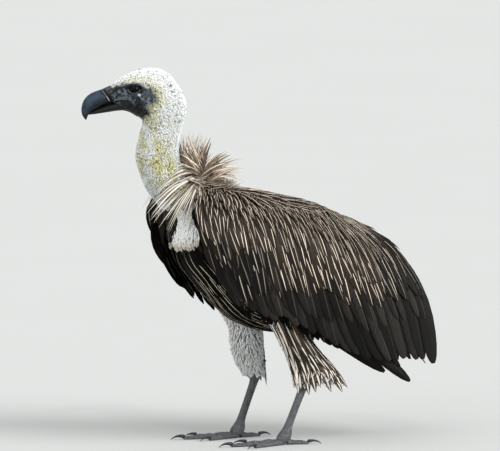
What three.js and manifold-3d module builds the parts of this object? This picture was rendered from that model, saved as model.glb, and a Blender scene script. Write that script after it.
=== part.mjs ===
// White-backed vulture (Gyps africanus), an immature bird standing with its wings folded.
// Life size, in millimetres, +Z up. The bird faces -Y and its left side is +X.
// Shapes are worked out in the bird's own terms: ahead (towards -Y), side (left is +), up.

import * as THREE from 'three';
import { LoftGeometry } from 'three/addons/geometries/LoftGeometry.js';
import { mergeVertices } from 'three/addons/utils/BufferGeometryUtils.js';
import Module from 'manifold-3d';

const wasm = await Module();
wasm.setup();

// ---------------------------------------------------------------- driving dimensions

const GAP = 0.3; // clearance between neighbouring solids
const CUT = 0.6; // how much a cutter is grown so that the cut leaves that clearance

// Head turn: the head looks to the bird's right, about an upright axis through the neck.
const HEAD_TURN = THREE.MathUtils.degToRad(17);
const NECK_AXIS_AHEAD = 193;

// Stations from the bill's base over head, neck and back to the rump. top and under are the
// [ahead, up] places of the outline, half is half the width, turn the share of the head turn.
const BODY = [
  { top: [273, 559], under: [264, 520], half: 15, turn: 1 },
  { top: [258, 570.5], under: [253, 519.5], half: 23, turn: 1 },
  { top: [238, 580.5], under: [243, 516.5], half: 29.5, turn: 1 },
  { top: [214, 586], under: [234, 511], half: 32.5, turn: 1 },
  { top: [194.5, 583.5], under: [228, 508], half: 33.5, turn: 1 },
  { top: [182, 576.5], under: [225.5, 505], half: 33, turn: 1 },
  { top: [171, 562.5], under: [224.5, 502], half: 32, turn: 1 },
  { top: [163, 550], under: [225, 499], half: 31, turn: 1 },
  { top: [157, 536], under: [226, 495], half: 30, turn: 1 },
  { top: [155.5, 518.5], under: [228, 488], half: 29, turn: 0.95 },
  { top: [159.5, 499], under: [231, 478], half: 28, turn: 0.8 },
  { top: [165, 478], under: [235, 464], half: 28.5, turn: 0.6 },
  { top: [167, 457], under: [236.5, 445], half: 30, turn: 0.35 },
  { top: [163, 436], under: [230, 422], half: 34, turn: 0.15 },
  { top: [150, 417], under: [218, 396], half: 42, turn: 0 },
  { top: [125, 401], under: [201, 374], half: 55, turn: 0 },
  { top: [96, 395], under: [184, 345], half: 70, turn: 0 },
  { top: [64, 390], under: [180, 314], half: 82, turn: 0 },
  { top: [32, 384], under: [168, 281], half: 89, turn: 0 },
  { top: [0, 376], under: [148, 257], half: 91, turn: 0 },
  { top: [-33, 368], under: [120, 225], half: 89, turn: 0 },
  { top: [-66, 358], under: [84, 192], half: 83, turn: 0 },
  { top: [-102, 342], under: [40, 173], half: 73, turn: 0 },
  { top: [-138, 316], under: [-12, 167], half: 60, turn: 0 },
  { top: [-168, 284], under: [-68, 166], half: 47, turn: 0 },
  { top: [-190, 250], under: [-118, 170], half: 36, turn: 0 },
  { top: [-202, 222], under: [-152, 172], half: 27, turn: 0 },
];
const HEAD_END = 10; // station where the head meets the neck
const NECK_MIDDLE = 12;
const NECK_END = 14.5;
const RUMP_START = 23.5;
const BODY_SIDES = 14;
const EGG = 0.07; // the body's sections are a little wider above their middle

// Bill stations in the head's own plane: culmen and cutting edge, half width.
const BILL = [
  { top: [273, 559], under: [266.5, 533.6], half: 14.5 },
  { top: [281, 555.6], under: [273, 531.6], half: 13.6 },
  { top: [288.8, 552.2], under: [281, 528.6], half: 12.6 },
  { top: [296.5, 549.6], under: [288.5, 525.2], half: 11.6 },
  { top: [304.7, 545.8], under: [295.5, 521.8], half: 10.4 },
  { top: [311.6, 539.8], under: [300.5, 519.4], half: 8.8 },
  { top: [316.1, 531.9], under: [304.5, 517.4], half: 6.8 },
  { top: [318.1, 521.9], under: [307.5, 513.6], half: 4.6 },
  { top: [316.6, 513], under: [309.6, 508.8], half: 2.6 },
  { top: [312.6, 506.8], under: [310.6, 505.6], half: 0.7 },
];
const CERE_END = 2; // the bare cere covers the first stations, the horn the rest
const BILL_SIDES = 10;
const LOWER_BILL = [
  { top: [267.5, 532.2], under: [266, 519.4], half: 11.5 },
  { top: [275, 529.8], under: [274, 518.2], half: 10.4 },
  { top: [285, 525.4], under: [284, 516.6], half: 8.8 },
  { top: [294, 520.8], under: [293, 515.2], half: 6.6 },
  { top: [300, 518], under: [299.6, 514.6], half: 3.6 },
];

const EYE = { ahead: 237.4, side: 19.8, up: 553.4, radius: 10.5, socket: 11.1 };

// Folded wing: ribs from the front edge back to the tips, each with four [ahead, side, up]
// places from the upper edge over the shoulder and the flank to the lower edge.
const WING_RIBS = [
  [[150, 42, 405], [178, 92, 368], [160, 102, 314], [110, 86, 231]],
  [[95, 22, 398], [112, 116, 343], [95, 122, 273], [67, 101, 203]],
  [[16, 19, 382], [24, 113, 331], [2, 114, 254], [-32, 94, 167]],
  [[-56, 16, 364], [-65, 96, 311], [-100, 98, 224], [-146, 78, 118]],
  [[-111, 10, 342], [-195, 12, 287], [-235, 28, 213], [-246, 47, 112]],
];
const WRIST_REACH = 17; // the right wrist is held further forward than the left one
const WRIST_DROP = 6; // and lower
const WRIST_EXTENT = 0.6; // share of the wing, from the front, that this moves

// The wing's layers. from and to are shares along the wing (front to rear), start and edge are
// shares down it, out and under are distances out from the wing's middle surface.
const WING_COLUMNS = 24; // columns of points from the front edge to the tips
const COVERTS = { from: 0, to: 0.9, feathers: 8, scallop: 0.05, out: 7.2, under: 4.4, lip: 0.8 };
// Share down where the coverts end: front at the wrist, falling to rear, and less at the rump.
const COVERT_EDGE = { rear: 0.66, front: 0.96, fall: 0.25, rump: 0.78, rise: 0.3 };
const COVERT_CROWN = 0.58; // share down to which the coverts keep their full depth
const WRIST_ROUNDING = 0.12; // share along over which the front edge swells to that depth
const ARM_DEPTH = 8; // the arm lies under the upper part of the coverts
const ARM_END = 0.42; // share down the wing where the arm ends and the secondaries start
const ELBOW = [0.45, 0.6]; // shares along over which the arm tapers away
const TERTIALS = [0.62, 0.8]; // shares along over which the flight feathers reach up to the back
const SECONDARIES = {
  from: 0.08, to: 1, edge: 0.93, feathers: 8, scallop: 0.04, out: 1.7, under: -1.3, rows: 6,
};
const PRIMARIES = {
  from: 0.3, to: 1, edge: 0.99, feathers: 6, scallop: 0.02, out: -2.9, under: -5.4, rows: 3,
};
const PRIMARY_START = 0.66;

const TAIL = {
  base: [-120, 292],
  tip: [-236, 96],
  baseHalf: 22,
  tipHalf: 45,
  feathers: 12,
  thick: 3,
  roof: 7,
};

// Feathered legs: [ahead of the front, ahead of the back, up, half width], from the hip down.
const THIGHS = {
  left: {
    side: 58,
    rings: [[64, -14, 226, 22], [48, -22, 200, 27], [29, -25, 172, 27], [14, -48, 140, 25],
      [5, -72, 113, 21], [1, -84, 94, 15]],
  },
  right: {
    side: -52,
    rings: [[98, 22, 224, 22], [84, 14, 200, 27], [67, 10, 172, 26], [64, 8, 145, 23],
      [57, 6, 119, 19], [44, 5, 98, 14]],
  },
};
const LEGS = {
  left: { ankle: [-26, 106], joint: [14, 14], side: 54 },
  right: { ankle: [18, 106], joint: [50, 14], side: -50 },
};
const LEG_SPLAY = 4; // the feet stand this much further out than the ankles
const SHANK_RADII = [9, 6.8, 6.3, 6.5, 7.8]; // from the ankle to the foot
const FOOT_BALL = { radius: 12.5, up: 11 };
const TOES = [
  { name: 'inner', length: 56, turn: -24, radius: 6.4, claw: 25 },
  { name: 'middle', length: 84, turn: 2, radius: 7, claw: 26 },
  { name: 'outer', length: 62, turn: 27, radius: 6.2, claw: 21 },
  { name: 'hind', length: 34, turn: 172, radius: 6.2, claw: 25 },
];
const CLAW_BEND = { from: -0.35, to: 1.05 }; // radians from level at the root and at the point
const CLAW_FLATNESS = 0.75;
const CLAW_LIFT = 0.32; // share of its length by which the point is held off the floor
const CLAW_SIDES = 5;

// Ruff of long narrow feathers round the base of the neck. A tilt of 0 points straight back
// and one of 90 degrees straight up; spread is how far the outermost locks fan out sideways.
const COLLAR = { station: 14.6, reach: 104, radius: 4.4, sides: 5 };
const CREST_ROWS = [
  { tilt: 110, length: 70, locks: 3, spread: 14 },
  { tilt: 90, length: 70, locks: 4, spread: 26 },
  { tilt: 68, length: 64, locks: 4, spread: 34 },
  { tilt: 44, length: 58, locks: 4, spread: 44 },
  { tilt: 20, length: 50, locks: 4, spread: 52 },
];
const CREST_LOCK = { half: 4.2, thick: 1.4 };
const DRAPE = {
  locks: 6,
  rootFrom: 66, // degrees round the collar of the first lock and of the last one
  rootTo: 100,
  tips: [[216, 34, 397], [221, 44, 362], [196, 50, 348], [172, 62, 331]],
  half: 4.6,
  thick: 1.5,
};

// ---------------------------------------------------------------- colours

const finish = (color, roughness) => new THREE.MeshStandardMaterial({ color, roughness, metalness: 0 });
const WOOLLY_DOWN = finish(0xd9d6c6, 0.95);
const BROWN_COAT = finish(0x3a322b, 0.8);
const DARK_COAT = finish(0x1e1a18, 0.7);
const BUFF_RUFF = finish(0x9a8468, 0.85);
const PALE_LEG_DOWN = finish(0xb9b6ae, 0.95);
const BILL_HORN = finish(0x17181c, 0.35);
const CERE_SKIN = finish(0x2b2d33, 0.5);
const LEG_SKIN = finish(0x3b3c3e, 0.7);
const CLAW_HORN = finish(0x141416, 0.4);
const EYE_DARK = finish(0x0d0b0a, 0.1);

// ---------------------------------------------------------------- tools for shapes

const place = (ahead, side, up) => new THREE.Vector3(side, -ahead, up);
const mix = THREE.MathUtils.lerp;
const clamp = THREE.MathUtils.clamp;

/** Middle of a ring of points. */
function centreOf(ring) {
  return ring.reduce((sum, point) => sum.add(point), new THREE.Vector3()).divideScalar(ring.length);
}

/** Closed solid through rings of points, turned so that its faces point outwards. */
function loft(rings) {
  const [ring] = rings;
  const centre = centreOf(ring);
  const facing = new THREE.Vector3();
  ring.forEach((point, i) => {
    const next = ring[(i + 1) % ring.length];
    facing.add(point.clone().sub(centre).cross(next.clone().sub(centre)));
  });
  const outwards = facing.dot(centreOf(rings[1]).sub(centre)) > 0;
  const turned = outwards ? rings : rings.map((each) => [...each].reverse());
  return new LoftGeometry(turned, { capStart: true, capEnd: true });
}

/**
 * Closed thin plate through rings whose first half runs down the outer face and whose second
 * half runs back up the inner face. Each end is a strip, drawn together on its middle line.
 */
function plate(rings) {
  const middle = (ring) => ring.map((point, i) => point.clone()
    .add(ring[ring.length - 1 - i]).multiplyScalar(0.5));
  return new LoftGeometry([middle(rings[0]), ...rings, middle(rings[rings.length - 1])]);
}

/** A geometry as a manifold solid: doubled points are joined and flat triangles dropped. */
function solidOf(geometry) {
  const bare = new THREE.BufferGeometry();
  bare.setAttribute('position', geometry.attributes.position);
  bare.setIndex(geometry.index);
  const merged = mergeVertices(bare, 1e-4);
  const corners = merged.index.array;
  const kept = [];
  for (let i = 0; i < corners.length; i += 3) {
    const [a, b, c] = corners.slice(i, i + 3);
    if (a !== b && b !== c && c !== a) kept.push(a, b, c);
  }
  return new wasm.Manifold(new wasm.Mesh({
    numProp: 3,
    vertProperties: new Float32Array(merged.attributes.position.array),
    triVerts: new Uint32Array(kept),
  }));
}

/** The largest body of a solid, as a geometry. */
function geometryOf(solid) {
  const largest = solid.decompose().reduce((a, b) => (b.volume() > a.volume() ? b : a));
  const mesh = largest.getMesh();
  const geometry = new THREE.BufferGeometry();
  geometry.setAttribute('position', new THREE.BufferAttribute(mesh.vertProperties, 3));
  geometry.setIndex(new THREE.BufferAttribute(mesh.triVerts, 1));
  geometry.computeVertexNormals();
  return geometry;
}

/** Copies of a solid shifted a little each way; cutting with them all leaves a clearance. */
function clearances(solid) {
  const shifts = [[CUT, 0, 0], [-CUT, 0, 0], [0, CUT, 0], [0, -CUT, 0], [0, 0, CUT], [0, 0, -CUT]];
  return shifts.map((shift) => solid.translate(shift));
}

/** What is left of a solid when each cutter is taken away. */
function cutBy(solid, cutters) {
  return cutters.reduce((left, cutter) => left.subtract(cutter), solid);
}

/** Smooth curve through one field of a list of stations, as [ahead, up] and half width. */
function stationCurves(stations) {
  const through = (key) => new THREE.CatmullRomCurve3(
    stations.map((station) => new THREE.Vector3(station[key][0], station[key][1], 0)));
  const halves = new THREE.CatmullRomCurve3(
    stations.map((station) => new THREE.Vector3(station.half, station.turn ?? 1, 0)));
  return { top: through('top'), under: through('under'), halves, last: stations.length - 1 };
}

/** Point of a station ring: angle 0 is the top of the ring and 90 degrees its left side. */
function ringPoint(curves, station, angle, grow = 0, egg = 0) {
  const share = station / curves.last;
  const top = curves.top.getPoint(share);
  const under = curves.under.getPoint(share);
  const { x: half, y: turn } = curves.halves.getPoint(share);
  const middle = top.clone().add(under).multiplyScalar(0.5);
  const reach = top.clone().sub(under).multiplyScalar(0.5);
  reach.setLength(reach.length() + grow);
  const ahead = middle.x + reach.x * Math.cos(angle) - NECK_AXIS_AHEAD;
  const side = (half + grow) * Math.sin(angle) * (1 + egg * Math.cos(angle));
  const yaw = HEAD_TURN * turn;
  return place(
    NECK_AXIS_AHEAD + ahead * Math.cos(yaw) + side * Math.sin(yaw),
    side * Math.cos(yaw) - ahead * Math.sin(yaw),
    middle.y + reach.y * Math.cos(angle),
  );
}

/** Ring of a body at one station. */
function stationRing(curves, station, sides, grow, egg) {
  const ring = [];
  for (let j = 0; j < sides; j += 1) {
    ring.push(ringPoint(curves, station, (j / sides) * 2 * Math.PI, grow, egg));
  }
  return ring;
}

/** Evenly spread stations of a stretch. */
function stretch(from, to, steps) {
  return Array.from({ length: steps + 1 }, (_, i) => mix(from, to, i / steps));
}

/** Solid through the rings of a list of stations. */
function stationLoft(curves, stations, sides, grow = 0, egg = 0) {
  return loft(stations.map((station) => stationRing(curves, station, sides, grow, egg)));
}

const group = new THREE.Group();

/** Adds one named sub-part. */
function add(name, geometry, material) {
  const mesh = new THREE.Mesh(geometry, material);
  mesh.name = name;
  group.add(mesh);
}

// ---------------------------------------------------------------- head, neck and trunk

const bodyCurves = stationCurves(BODY);
const billCurves = stationCurves(BILL);
const lowerCurves = stationCurves(LOWER_BILL);
const STATION_GAP = 0.03; // share of a station that leaves the clearance between two stretches

const HEAD_STATIONS = stretch(0, HEAD_END, 14);
const UPPER_NECK_STATIONS = stretch(HEAD_END + STATION_GAP, NECK_MIDDLE, 4);
const LOWER_NECK_STATIONS = stretch(NECK_MIDDLE + STATION_GAP, NECK_END, 5);
const TRUNK_STATIONS = stretch(NECK_END + STATION_GAP, RUMP_START, 12);
const RUMP_STATIONS = stretch(RUMP_START + STATION_GAP, bodyCurves.last, 4);

const bodyPart = (stations, grow = 0) => stationLoft(bodyCurves, stations, BODY_SIDES, grow, EGG);

/** Centre of an eye; sign is +1 on the bird's left. */
function eyeCentre(sign) {
  const ahead = EYE.ahead - NECK_AXIS_AHEAD;
  const side = EYE.side * sign;
  return place(
    NECK_AXIS_AHEAD + ahead * Math.cos(HEAD_TURN) + side * Math.sin(HEAD_TURN),
    side * Math.cos(HEAD_TURN) - ahead * Math.sin(HEAD_TURN),
    EYE.up,
  );
}

function ball(radius, centre, detail) {
  const sphere = new THREE.SphereGeometry(radius, 2 * detail, detail);
  sphere.translate(centre.x, centre.y, centre.z);
  return sphere;
}

/** Head with its two eye sockets cut in. */
function head() {
  const sockets = [1, -1].map((sign) => solidOf(ball(EYE.socket, eyeCentre(sign), 6)));
  return geometryOf(cutBy(solidOf(bodyPart(HEAD_STATIONS)), sockets));
}

add('head', head(), WOOLLY_DOWN);
add('neck_upper', bodyPart(UPPER_NECK_STATIONS), WOOLLY_DOWN);
add('neck_lower', bodyPart(LOWER_NECK_STATIONS), WOOLLY_DOWN);
add('trunk', bodyPart(TRUNK_STATIONS), BROWN_COAT);
add('rump', bodyPart(RUMP_STATIONS), DARK_COAT);
add('eye_left', ball(EYE.radius, eyeCentre(1), 6), EYE_DARK);
add('eye_right', ball(EYE.radius, eyeCentre(-1), 6), EYE_DARK);

// The whole body a little larger, for cutting what lies against it.
const bodyCutter = solidOf(bodyPart([...HEAD_STATIONS, ...UPPER_NECK_STATIONS,
  ...LOWER_NECK_STATIONS, ...TRUNK_STATIONS, ...RUMP_STATIONS], CUT));

// ---------------------------------------------------------------- bill

const headCutter = solidOf(bodyPart(HEAD_STATIONS, CUT));
const cutToHead = (geometry) => geometryOf(cutBy(solidOf(geometry), [headCutter]));

add('cere', cutToHead(stationLoft(billCurves, stretch(CERE_END - STATION_GAP, 0, 3), BILL_SIDES, 0.3)),
  CERE_SKIN);
add('bill_upper', stationLoft(billCurves, stretch(billCurves.last, CERE_END, 12), BILL_SIDES), BILL_HORN);
add('bill_lower', cutToHead(stationLoft(lowerCurves, stretch(lowerCurves.last, 0, 5), BILL_SIDES)),
  BILL_HORN);

// ---------------------------------------------------------------- wings

/** Wing surface: share along from front to rear and share down from upper to lower edge. */
function wingSurface(sign) {
  const rows = WING_RIBS.map((rib) => new THREE.CatmullRomCurve3(
    rib.map(([ahead, side, up]) => new THREE.Vector3(ahead, side, up))));
  const point = (along, down) => {
    const column = new THREE.CatmullRomCurve3(rows.map((row) => row.getPoint(clamp(down, 0, 1))));
    const spot = column.getPoint(clamp(along, 0, 1));
    if (sign < 0) {
      const held = Math.max(0, 1 - along / WRIST_EXTENT) ** 2;
      spot.x += WRIST_REACH * held;
      spot.z -= WRIST_DROP * held;
    }
    return place(spot.x, spot.y * sign, spot.z);
  };
  return (along, down, out) => {
    const step = 0.01;
    const ahead = point(clamp(along - step, 0, 1 - step), down);
    const behind = point(clamp(along + step, step, 1), down);
    const above = point(along, clamp(down - step, 0, 1 - step));
    const below = point(along, clamp(down + step, step, 1));
    const normal = behind.sub(ahead).cross(below.sub(above)).normalize();
    return point(along, down).addScaledVector(normal, -out * sign);
  };
}

/** Share of a feather's tip that is rounded away, 0 on its shaft and 1 at its edges. */
function tipRounding(along, layer) {
  const feather = along * layer.feathers;
  return (2 * (feather - Math.floor(feather)) - 1) ** 2;
}

/** The columns of a layer, as shares along the wing. */
function layerColumns(layer) {
  const all = stretch(0, 1, WING_COLUMNS);
  return all.filter((along) => along >= layer.from - 1e-6 && along <= layer.to + 1e-6);
}

/** Ring of a wing layer at one share along the wing, from pairs of share down and distance out. */
function layerRing(surface, along, profile, sign) {
  const ring = profile.map(([down, out]) => surface(along, down, out));
  return sign > 0 ? ring : ring.reverse();
}

/** Coverts over the arm: thick over the arm's bones, thin where they cover flight feathers. */
function covertRings(surface, sign) {
  return layerColumns(COVERTS).map((along) => {
    const rounding = COVERTS.scallop * tipRounding(along, COVERTS);
    const edge = COVERT_EDGE.rear - rounding
      - COVERT_EDGE.rise * Math.max(0, along - COVERT_EDGE.rump)
      + (COVERT_EDGE.front - COVERT_EDGE.rear) * Math.exp(-along / COVERT_EDGE.fall);
    const swell = Math.sqrt(clamp(along / WRIST_ROUNDING, 0.04, 1));
    const out = mix(COVERTS.under, COVERTS.out, swell);
    const arm = swell * (1 - THREE.MathUtils.smoothstep(along, ...ELBOW));
    const inside = mix(COVERTS.under, -ARM_DEPTH, arm);
    const margin = 0.01; // share that rounds each edge
    const thin = stretch(edge - margin, ARM_END + margin, 3);
    const deep = stretch(ARM_END - margin, ARM_END / 3, 2);
    const profile = [
      ...stretch(0, COVERT_CROWN, 5).map((down) => [down, out]),
      [edge, COVERTS.under + COVERTS.lip],
      ...thin.map((down) => [down, COVERTS.under]),
      ...deep.map((down) => [down, inside]),
      [margin, inside * 0.5],
    ];
    return layerRing(surface, along, profile, sign);
  });
}

/** A thin layer of long feathers from a share down the wing, given at each column, to its edge. */
function featherRings(surface, sign, layer, startAt) {
  return layerColumns(layer).map((along) => {
    const edge = layer.edge - layer.scallop * tipRounding(along, layer);
    const downs = stretch(startAt(along), edge, layer.rows);
    const outer = downs.map((down) => [down, layer.out]);
    const inner = downs.map((down) => [down, layer.under]).reverse();
    return layerRing(surface, along, [...outer, ...inner], sign);
  });
}

const wingCutters = { left: [], right: [] };

/** One folded wing in three layers, each cut clear of the body. */
function addWing(side, sign) {
  const surface = wingSurface(sign);
  const innermost = (along) => mix(ARM_END + 0.03, 0.02,
    THREE.MathUtils.smoothstep(along, ...TERTIALS));
  const layers = [
    ['coverts', covertRings(surface, sign), BROWN_COAT],
    ['secondaries', featherRings(surface, sign, SECONDARIES, innermost), DARK_COAT],
    ['primaries', featherRings(surface, sign, PRIMARIES, () => PRIMARY_START), DARK_COAT],
  ];
  for (const [name, rings, material] of layers) {
    const layer = cutBy(solidOf(plate(rings)), [bodyCutter]);
    add(`wing_${side}_${name}`, geometryOf(layer), material);
    wingCutters[side].push(...clearances(layer));
  }
}

addWing('left', 1);
addWing('right', -1);

// ---------------------------------------------------------------- tail

/** Fan of tail feathers: a shallow roof from under the rump to the rounded feather tips. */
function tail() {
  const [baseAhead, baseUp] = TAIL.base;
  const [tipAhead, tipUp] = TAIL.tip;
  const length = Math.hypot(tipAhead - baseAhead, tipUp - baseUp);
  const back = [(tipUp - baseUp) / length, -(tipAhead - baseAhead) / length];
  const columns = TAIL.feathers * 2;
  const rings = [];
  for (let i = 0; i <= columns; i += 1) {
    const across = mix(1, -1, i / columns);
    const rounding = 0.02 * (i % 2 === 0 ? 1 : 0) + 0.04 * across ** 2;
    const point = (share, out) => {
      const along = share * (1 - rounding);
      const lift = out + TAIL.roof * (1 - across ** 2) * along;
      return place(
        mix(baseAhead, tipAhead, along) + back[0] * lift,
        across * mix(TAIL.baseHalf, TAIL.tipHalf, along),
        mix(baseUp, tipUp, along) + back[1] * lift,
      );
    };
    const outer = stretch(0.2, 1, 1).map((share) => point(share, TAIL.thick / 2));
    const inner = stretch(1, 0.2, 1).map((share) => point(share, -TAIL.thick / 2));
    rings.push([...outer, ...inner]);
  }
  return geometryOf(cutBy(solidOf(plate(rings)), [bodyCutter]));
}

add('tail', tail(), DARK_COAT);

// ---------------------------------------------------------------- legs and feet

/** Ring of points round an upright axis, for a leg that goes down from ring to ring. */
function levelRing(front, back, side, up, half, sides) {
  const ring = [];
  for (let j = 0; j < sides; j += 1) {
    const angle = (j / sides) * 2 * Math.PI;
    ring.push(place(mix(back, front, 0.5) + 0.5 * (front - back) * Math.cos(angle),
      side + half * Math.sin(angle), up));
  }
  return ring;
}

/** Straight tube between two points with a radius at each share of its length. */
function limb(start, end, radii, sides) {
  const axis = end.clone().sub(start).normalize();
  const across = new THREE.Vector3(1, 0, 0).cross(axis).normalize();
  const over = axis.clone().cross(across);
  return loft(radii.map((radius, i) => {
    const centre = start.clone().lerp(end, i / (radii.length - 1));
    return Array.from({ length: sides }, (_, j) => {
      const angle = (j / sides) * 2 * Math.PI;
      return centre.clone()
        .addScaledVector(over, radius * Math.cos(angle))
        .addScaledVector(across, radius * Math.sin(angle));
    });
  }));
}

/** Section of a toe: round above, flat where it stands. width is half the toe's width. */
function toeRing(centre, heading, width, height, lift) {
  const across = new THREE.Vector3(-heading.y, heading.x, 0);
  const outline = [[-0.6, 0], [-0.95, 0.5], [0, 1], [0.95, 0.5], [0.6, 0]];
  return outline.map(([x, z]) => centre.clone()
    .addScaledVector(across, x * width)
    .setZ(lift + z * height));
}

/** A toe with pads: length is from the foot's ball to the root of the claw. */
function toe(root, heading, length, radius) {
  const swell = [1.02, 0.84, 1, 0.8, 0.92, 0.62];
  return loft(swell.map((size, i) => {
    const share = i / (swell.length - 1);
    const height = radius * size * mix(1.7, 1.15, share);
    return toeRing(root.clone().addScaledVector(heading, length * share), heading,
      radius * size, height, 0);
  }));
}

/** Curved claw: an arc of a flattened circle from the toe's end to a point just over the floor. */
function claw(root, heading, radius, length) {
  const across = new THREE.Vector3(-heading.y, heading.x, 0);
  const arc = length / (CLAW_BEND.to - CLAW_BEND.from);
  return loft(stretch(0, 1, 3).map((share) => {
    const bend = mix(CLAW_BEND.from, CLAW_BEND.to, share);
    const reach = arc * (Math.sin(bend) - Math.sin(CLAW_BEND.from));
    const drop = arc * (Math.cos(bend) - Math.cos(CLAW_BEND.from)) + CLAW_LIFT * length * share;
    const centre = root.clone().addScaledVector(heading, reach);
    centre.z = CLAW_FLATNESS * (radius * (1 - share) + drop);
    const size = mix(0.62 * radius, 0.5, share ** 0.8);
    const rise = new THREE.Vector3(0, 0, Math.cos(bend)).addScaledVector(heading, Math.sin(bend));
    return Array.from({ length: CLAW_SIDES }, (_, j) => {
      const angle = (j / CLAW_SIDES) * 2 * Math.PI;
      return centre.clone()
        .addScaledVector(across, size * 0.8 * Math.sin(angle))
        .addScaledVector(rise, size * Math.cos(angle));
    });
  }));
}

/** Thigh, shank, foot and claws of one leg. */
function addLeg(side) {
  const { ankle, joint, side: across } = LEGS[side];
  const out = Math.sign(across) * LEG_SPLAY;
  const top = place(ankle[0], across, ankle[1]);
  const bottom = place(joint[0], across + out, joint[1]);
  const shank = (grow) => limb(top, bottom, SHANK_RADII.map((radius) => radius + grow), 8);

  const thigh = THIGHS[side];
  const sleeve = loft(thigh.rings.map(([front, back, up, half]) => levelRing(
    front, back, thigh.side, up, half, 10)));
  const cutters = [bodyCutter, solidOf(shank(CUT)), ...wingCutters[side]];
  add(`thigh_${side}`, geometryOf(cutBy(solidOf(sleeve), cutters)),
    side === 'left' ? BROWN_COAT : PALE_LEG_DOWN);

  const heel = ball(FOOT_BALL.radius, bottom.clone().setZ(FOOT_BALL.up), 5);
  const toes = TOES.map(({ name, length, turn, radius, claw: clawLength }) => {
    const yaw = THREE.MathUtils.degToRad(turn) * Math.sign(across);
    const heading = place(Math.cos(yaw), Math.sin(yaw), 0);
    const root = bottom.clone().setZ(0).addScaledVector(heading, 4);
    add(`claw_${side}_${name}`, claw(root.clone().addScaledVector(heading, length + GAP), heading,
      radius * 0.75, clawLength), CLAW_HORN);
    return solidOf(toe(root, heading, length, radius));
  });
  const below = solidOf(new THREE.BoxGeometry(60, 60, 20)
    .translate(bottom.x, bottom.y, -10));
  const foot = [...toes, solidOf(heel)].reduce((a, b) => a.add(b)).subtract(below);
  add(`foot_${side}`, geometryOf(foot), LEG_SKIN);
  add(`tarsus_${side}`, geometryOf(solidOf(shank(0)).subtract(
    solidOf(ball(FOOT_BALL.radius + GAP, bottom.clone().setZ(FOOT_BALL.up), 5)))), LEG_SKIN);
}

addLeg('left');
addLeg('right');

// ---------------------------------------------------------------- ruff

/** Place on the collar's middle line; angle is in degrees, 0 on top, + on the left. */
function collarPlace(angle) {
  return ringPoint(bodyCurves, COLLAR.station, THREE.MathUtils.degToRad(angle),
    COLLAR.radius + CUT + GAP, EGG);
}

/** Part of the collar that the ruff's feathers grow from, between two angles. */
function collar(from, to, count) {
  const middle = collarPlace(0).add(collarPlace(180)).multiplyScalar(0.5);
  return solidOf(loft(stretch(from, to, count).map((angle) => {
    const centre = collarPlace(angle);
    const along = collarPlace(angle + 1).sub(collarPlace(angle - 1)).normalize();
    const out = centre.clone().sub(middle).normalize();
    const over = along.clone().cross(out).normalize();
    return Array.from({ length: COLLAR.sides }, (_, j) => {
      const turn = (j / COLLAR.sides) * 2 * Math.PI;
      return centre.clone().addScaledVector(out, COLLAR.radius * Math.cos(turn))
        .addScaledVector(over, COLLAR.radius * Math.sin(turn));
    });
  })));
}

/** A pointed, flattened lock of feathers that bends a little towards its sag direction. */
function lock(root, tip, half, thick, sag) {
  const shares = [0, 0.5, 1];
  const widths = [0.8, 1, 0.1];
  const heading = tip.clone().sub(root).normalize();
  const across = new THREE.Vector3(1, 0, 0).addScaledVector(heading, -heading.x).normalize();
  const over = heading.clone().cross(across);
  return solidOf(loft(shares.map((share, i) => {
    const centre = root.clone().lerp(tip, share).addScaledVector(sag, share * (1 - share));
    return [0, 1, 2].map((j) => {
      const turn = (j / 3) * 2 * Math.PI;
      return centre.clone().addScaledVector(across, half * widths[i] * Math.cos(turn))
        .addScaledVector(over, thick * widths[i] * Math.sin(turn));
    });
  })));
}

/** The erect crest at the back of the neck's base. */
function crest() {
  const locks = CREST_ROWS.flatMap(({ tilt, length, locks: count, spread }, row) => {
    const rise = THREE.MathUtils.degToRad(tilt);
    return stretch(-1, 1, count - 1).map((share) => {
      const fan = THREE.MathUtils.degToRad(spread * share);
      const root = collarPlace(46 * share);
      const shortened = (row + Math.round(4 * share + 4)) % 2;
      const reach = length * (1 - 0.14 * shortened);
      const heading = place(-Math.cos(rise) * Math.cos(fan), Math.sin(fan),
        Math.sin(rise) * Math.cos(fan));
      return lock(root, root.clone().addScaledVector(heading, reach), CREST_LOCK.half,
        CREST_LOCK.thick, place(0, 0, 6));
    });
  });
  return [collar(-54, 54, 6), ...locks].reduce((a, b) => a.add(b));
}

/** The locks that hang forward and down over one side of the neck's base. */
function drape(sign) {
  const tips = new THREE.CatmullRomCurve3(DRAPE.tips.map(([ahead, side, up]) => place(
    ahead, side * sign, up)));
  const locks = stretch(0, 1, DRAPE.locks - 1).map((share) => lock(
    collarPlace(sign * mix(DRAPE.rootFrom, DRAPE.rootTo, share)), tips.getPoint(share),
    DRAPE.half, DRAPE.thick, place(0, 14 * sign, 8)));
  const ends = [55.5 * sign, COLLAR.reach * sign];
  return [collar(...ends, 5), ...locks].reduce((a, b) => a.add(b));
}

const ruffCutters = [bodyCutter, ...wingCutters.left, ...wingCutters.right];
add('ruff_crest', geometryOf(cutBy(crest(), ruffCutters)), BUFF_RUFF);
add('ruff_left', geometryOf(cutBy(drape(1), ruffCutters)), BUFF_RUFF);
add('ruff_right', geometryOf(cutBy(drape(-1), ruffCutters)), BUFF_RUFF);

// ---------------------------------------------------------------- origin

// The origin is the middle of the whole bird's box, on the floor.
const bounds = new THREE.Box3().setFromObject(group);
for (const mesh of group.children) {
  mesh.position.set(-(bounds.min.x + bounds.max.x) / 2, -(bounds.min.y + bounds.max.y) / 2, 0);
}

export default group;
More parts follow.
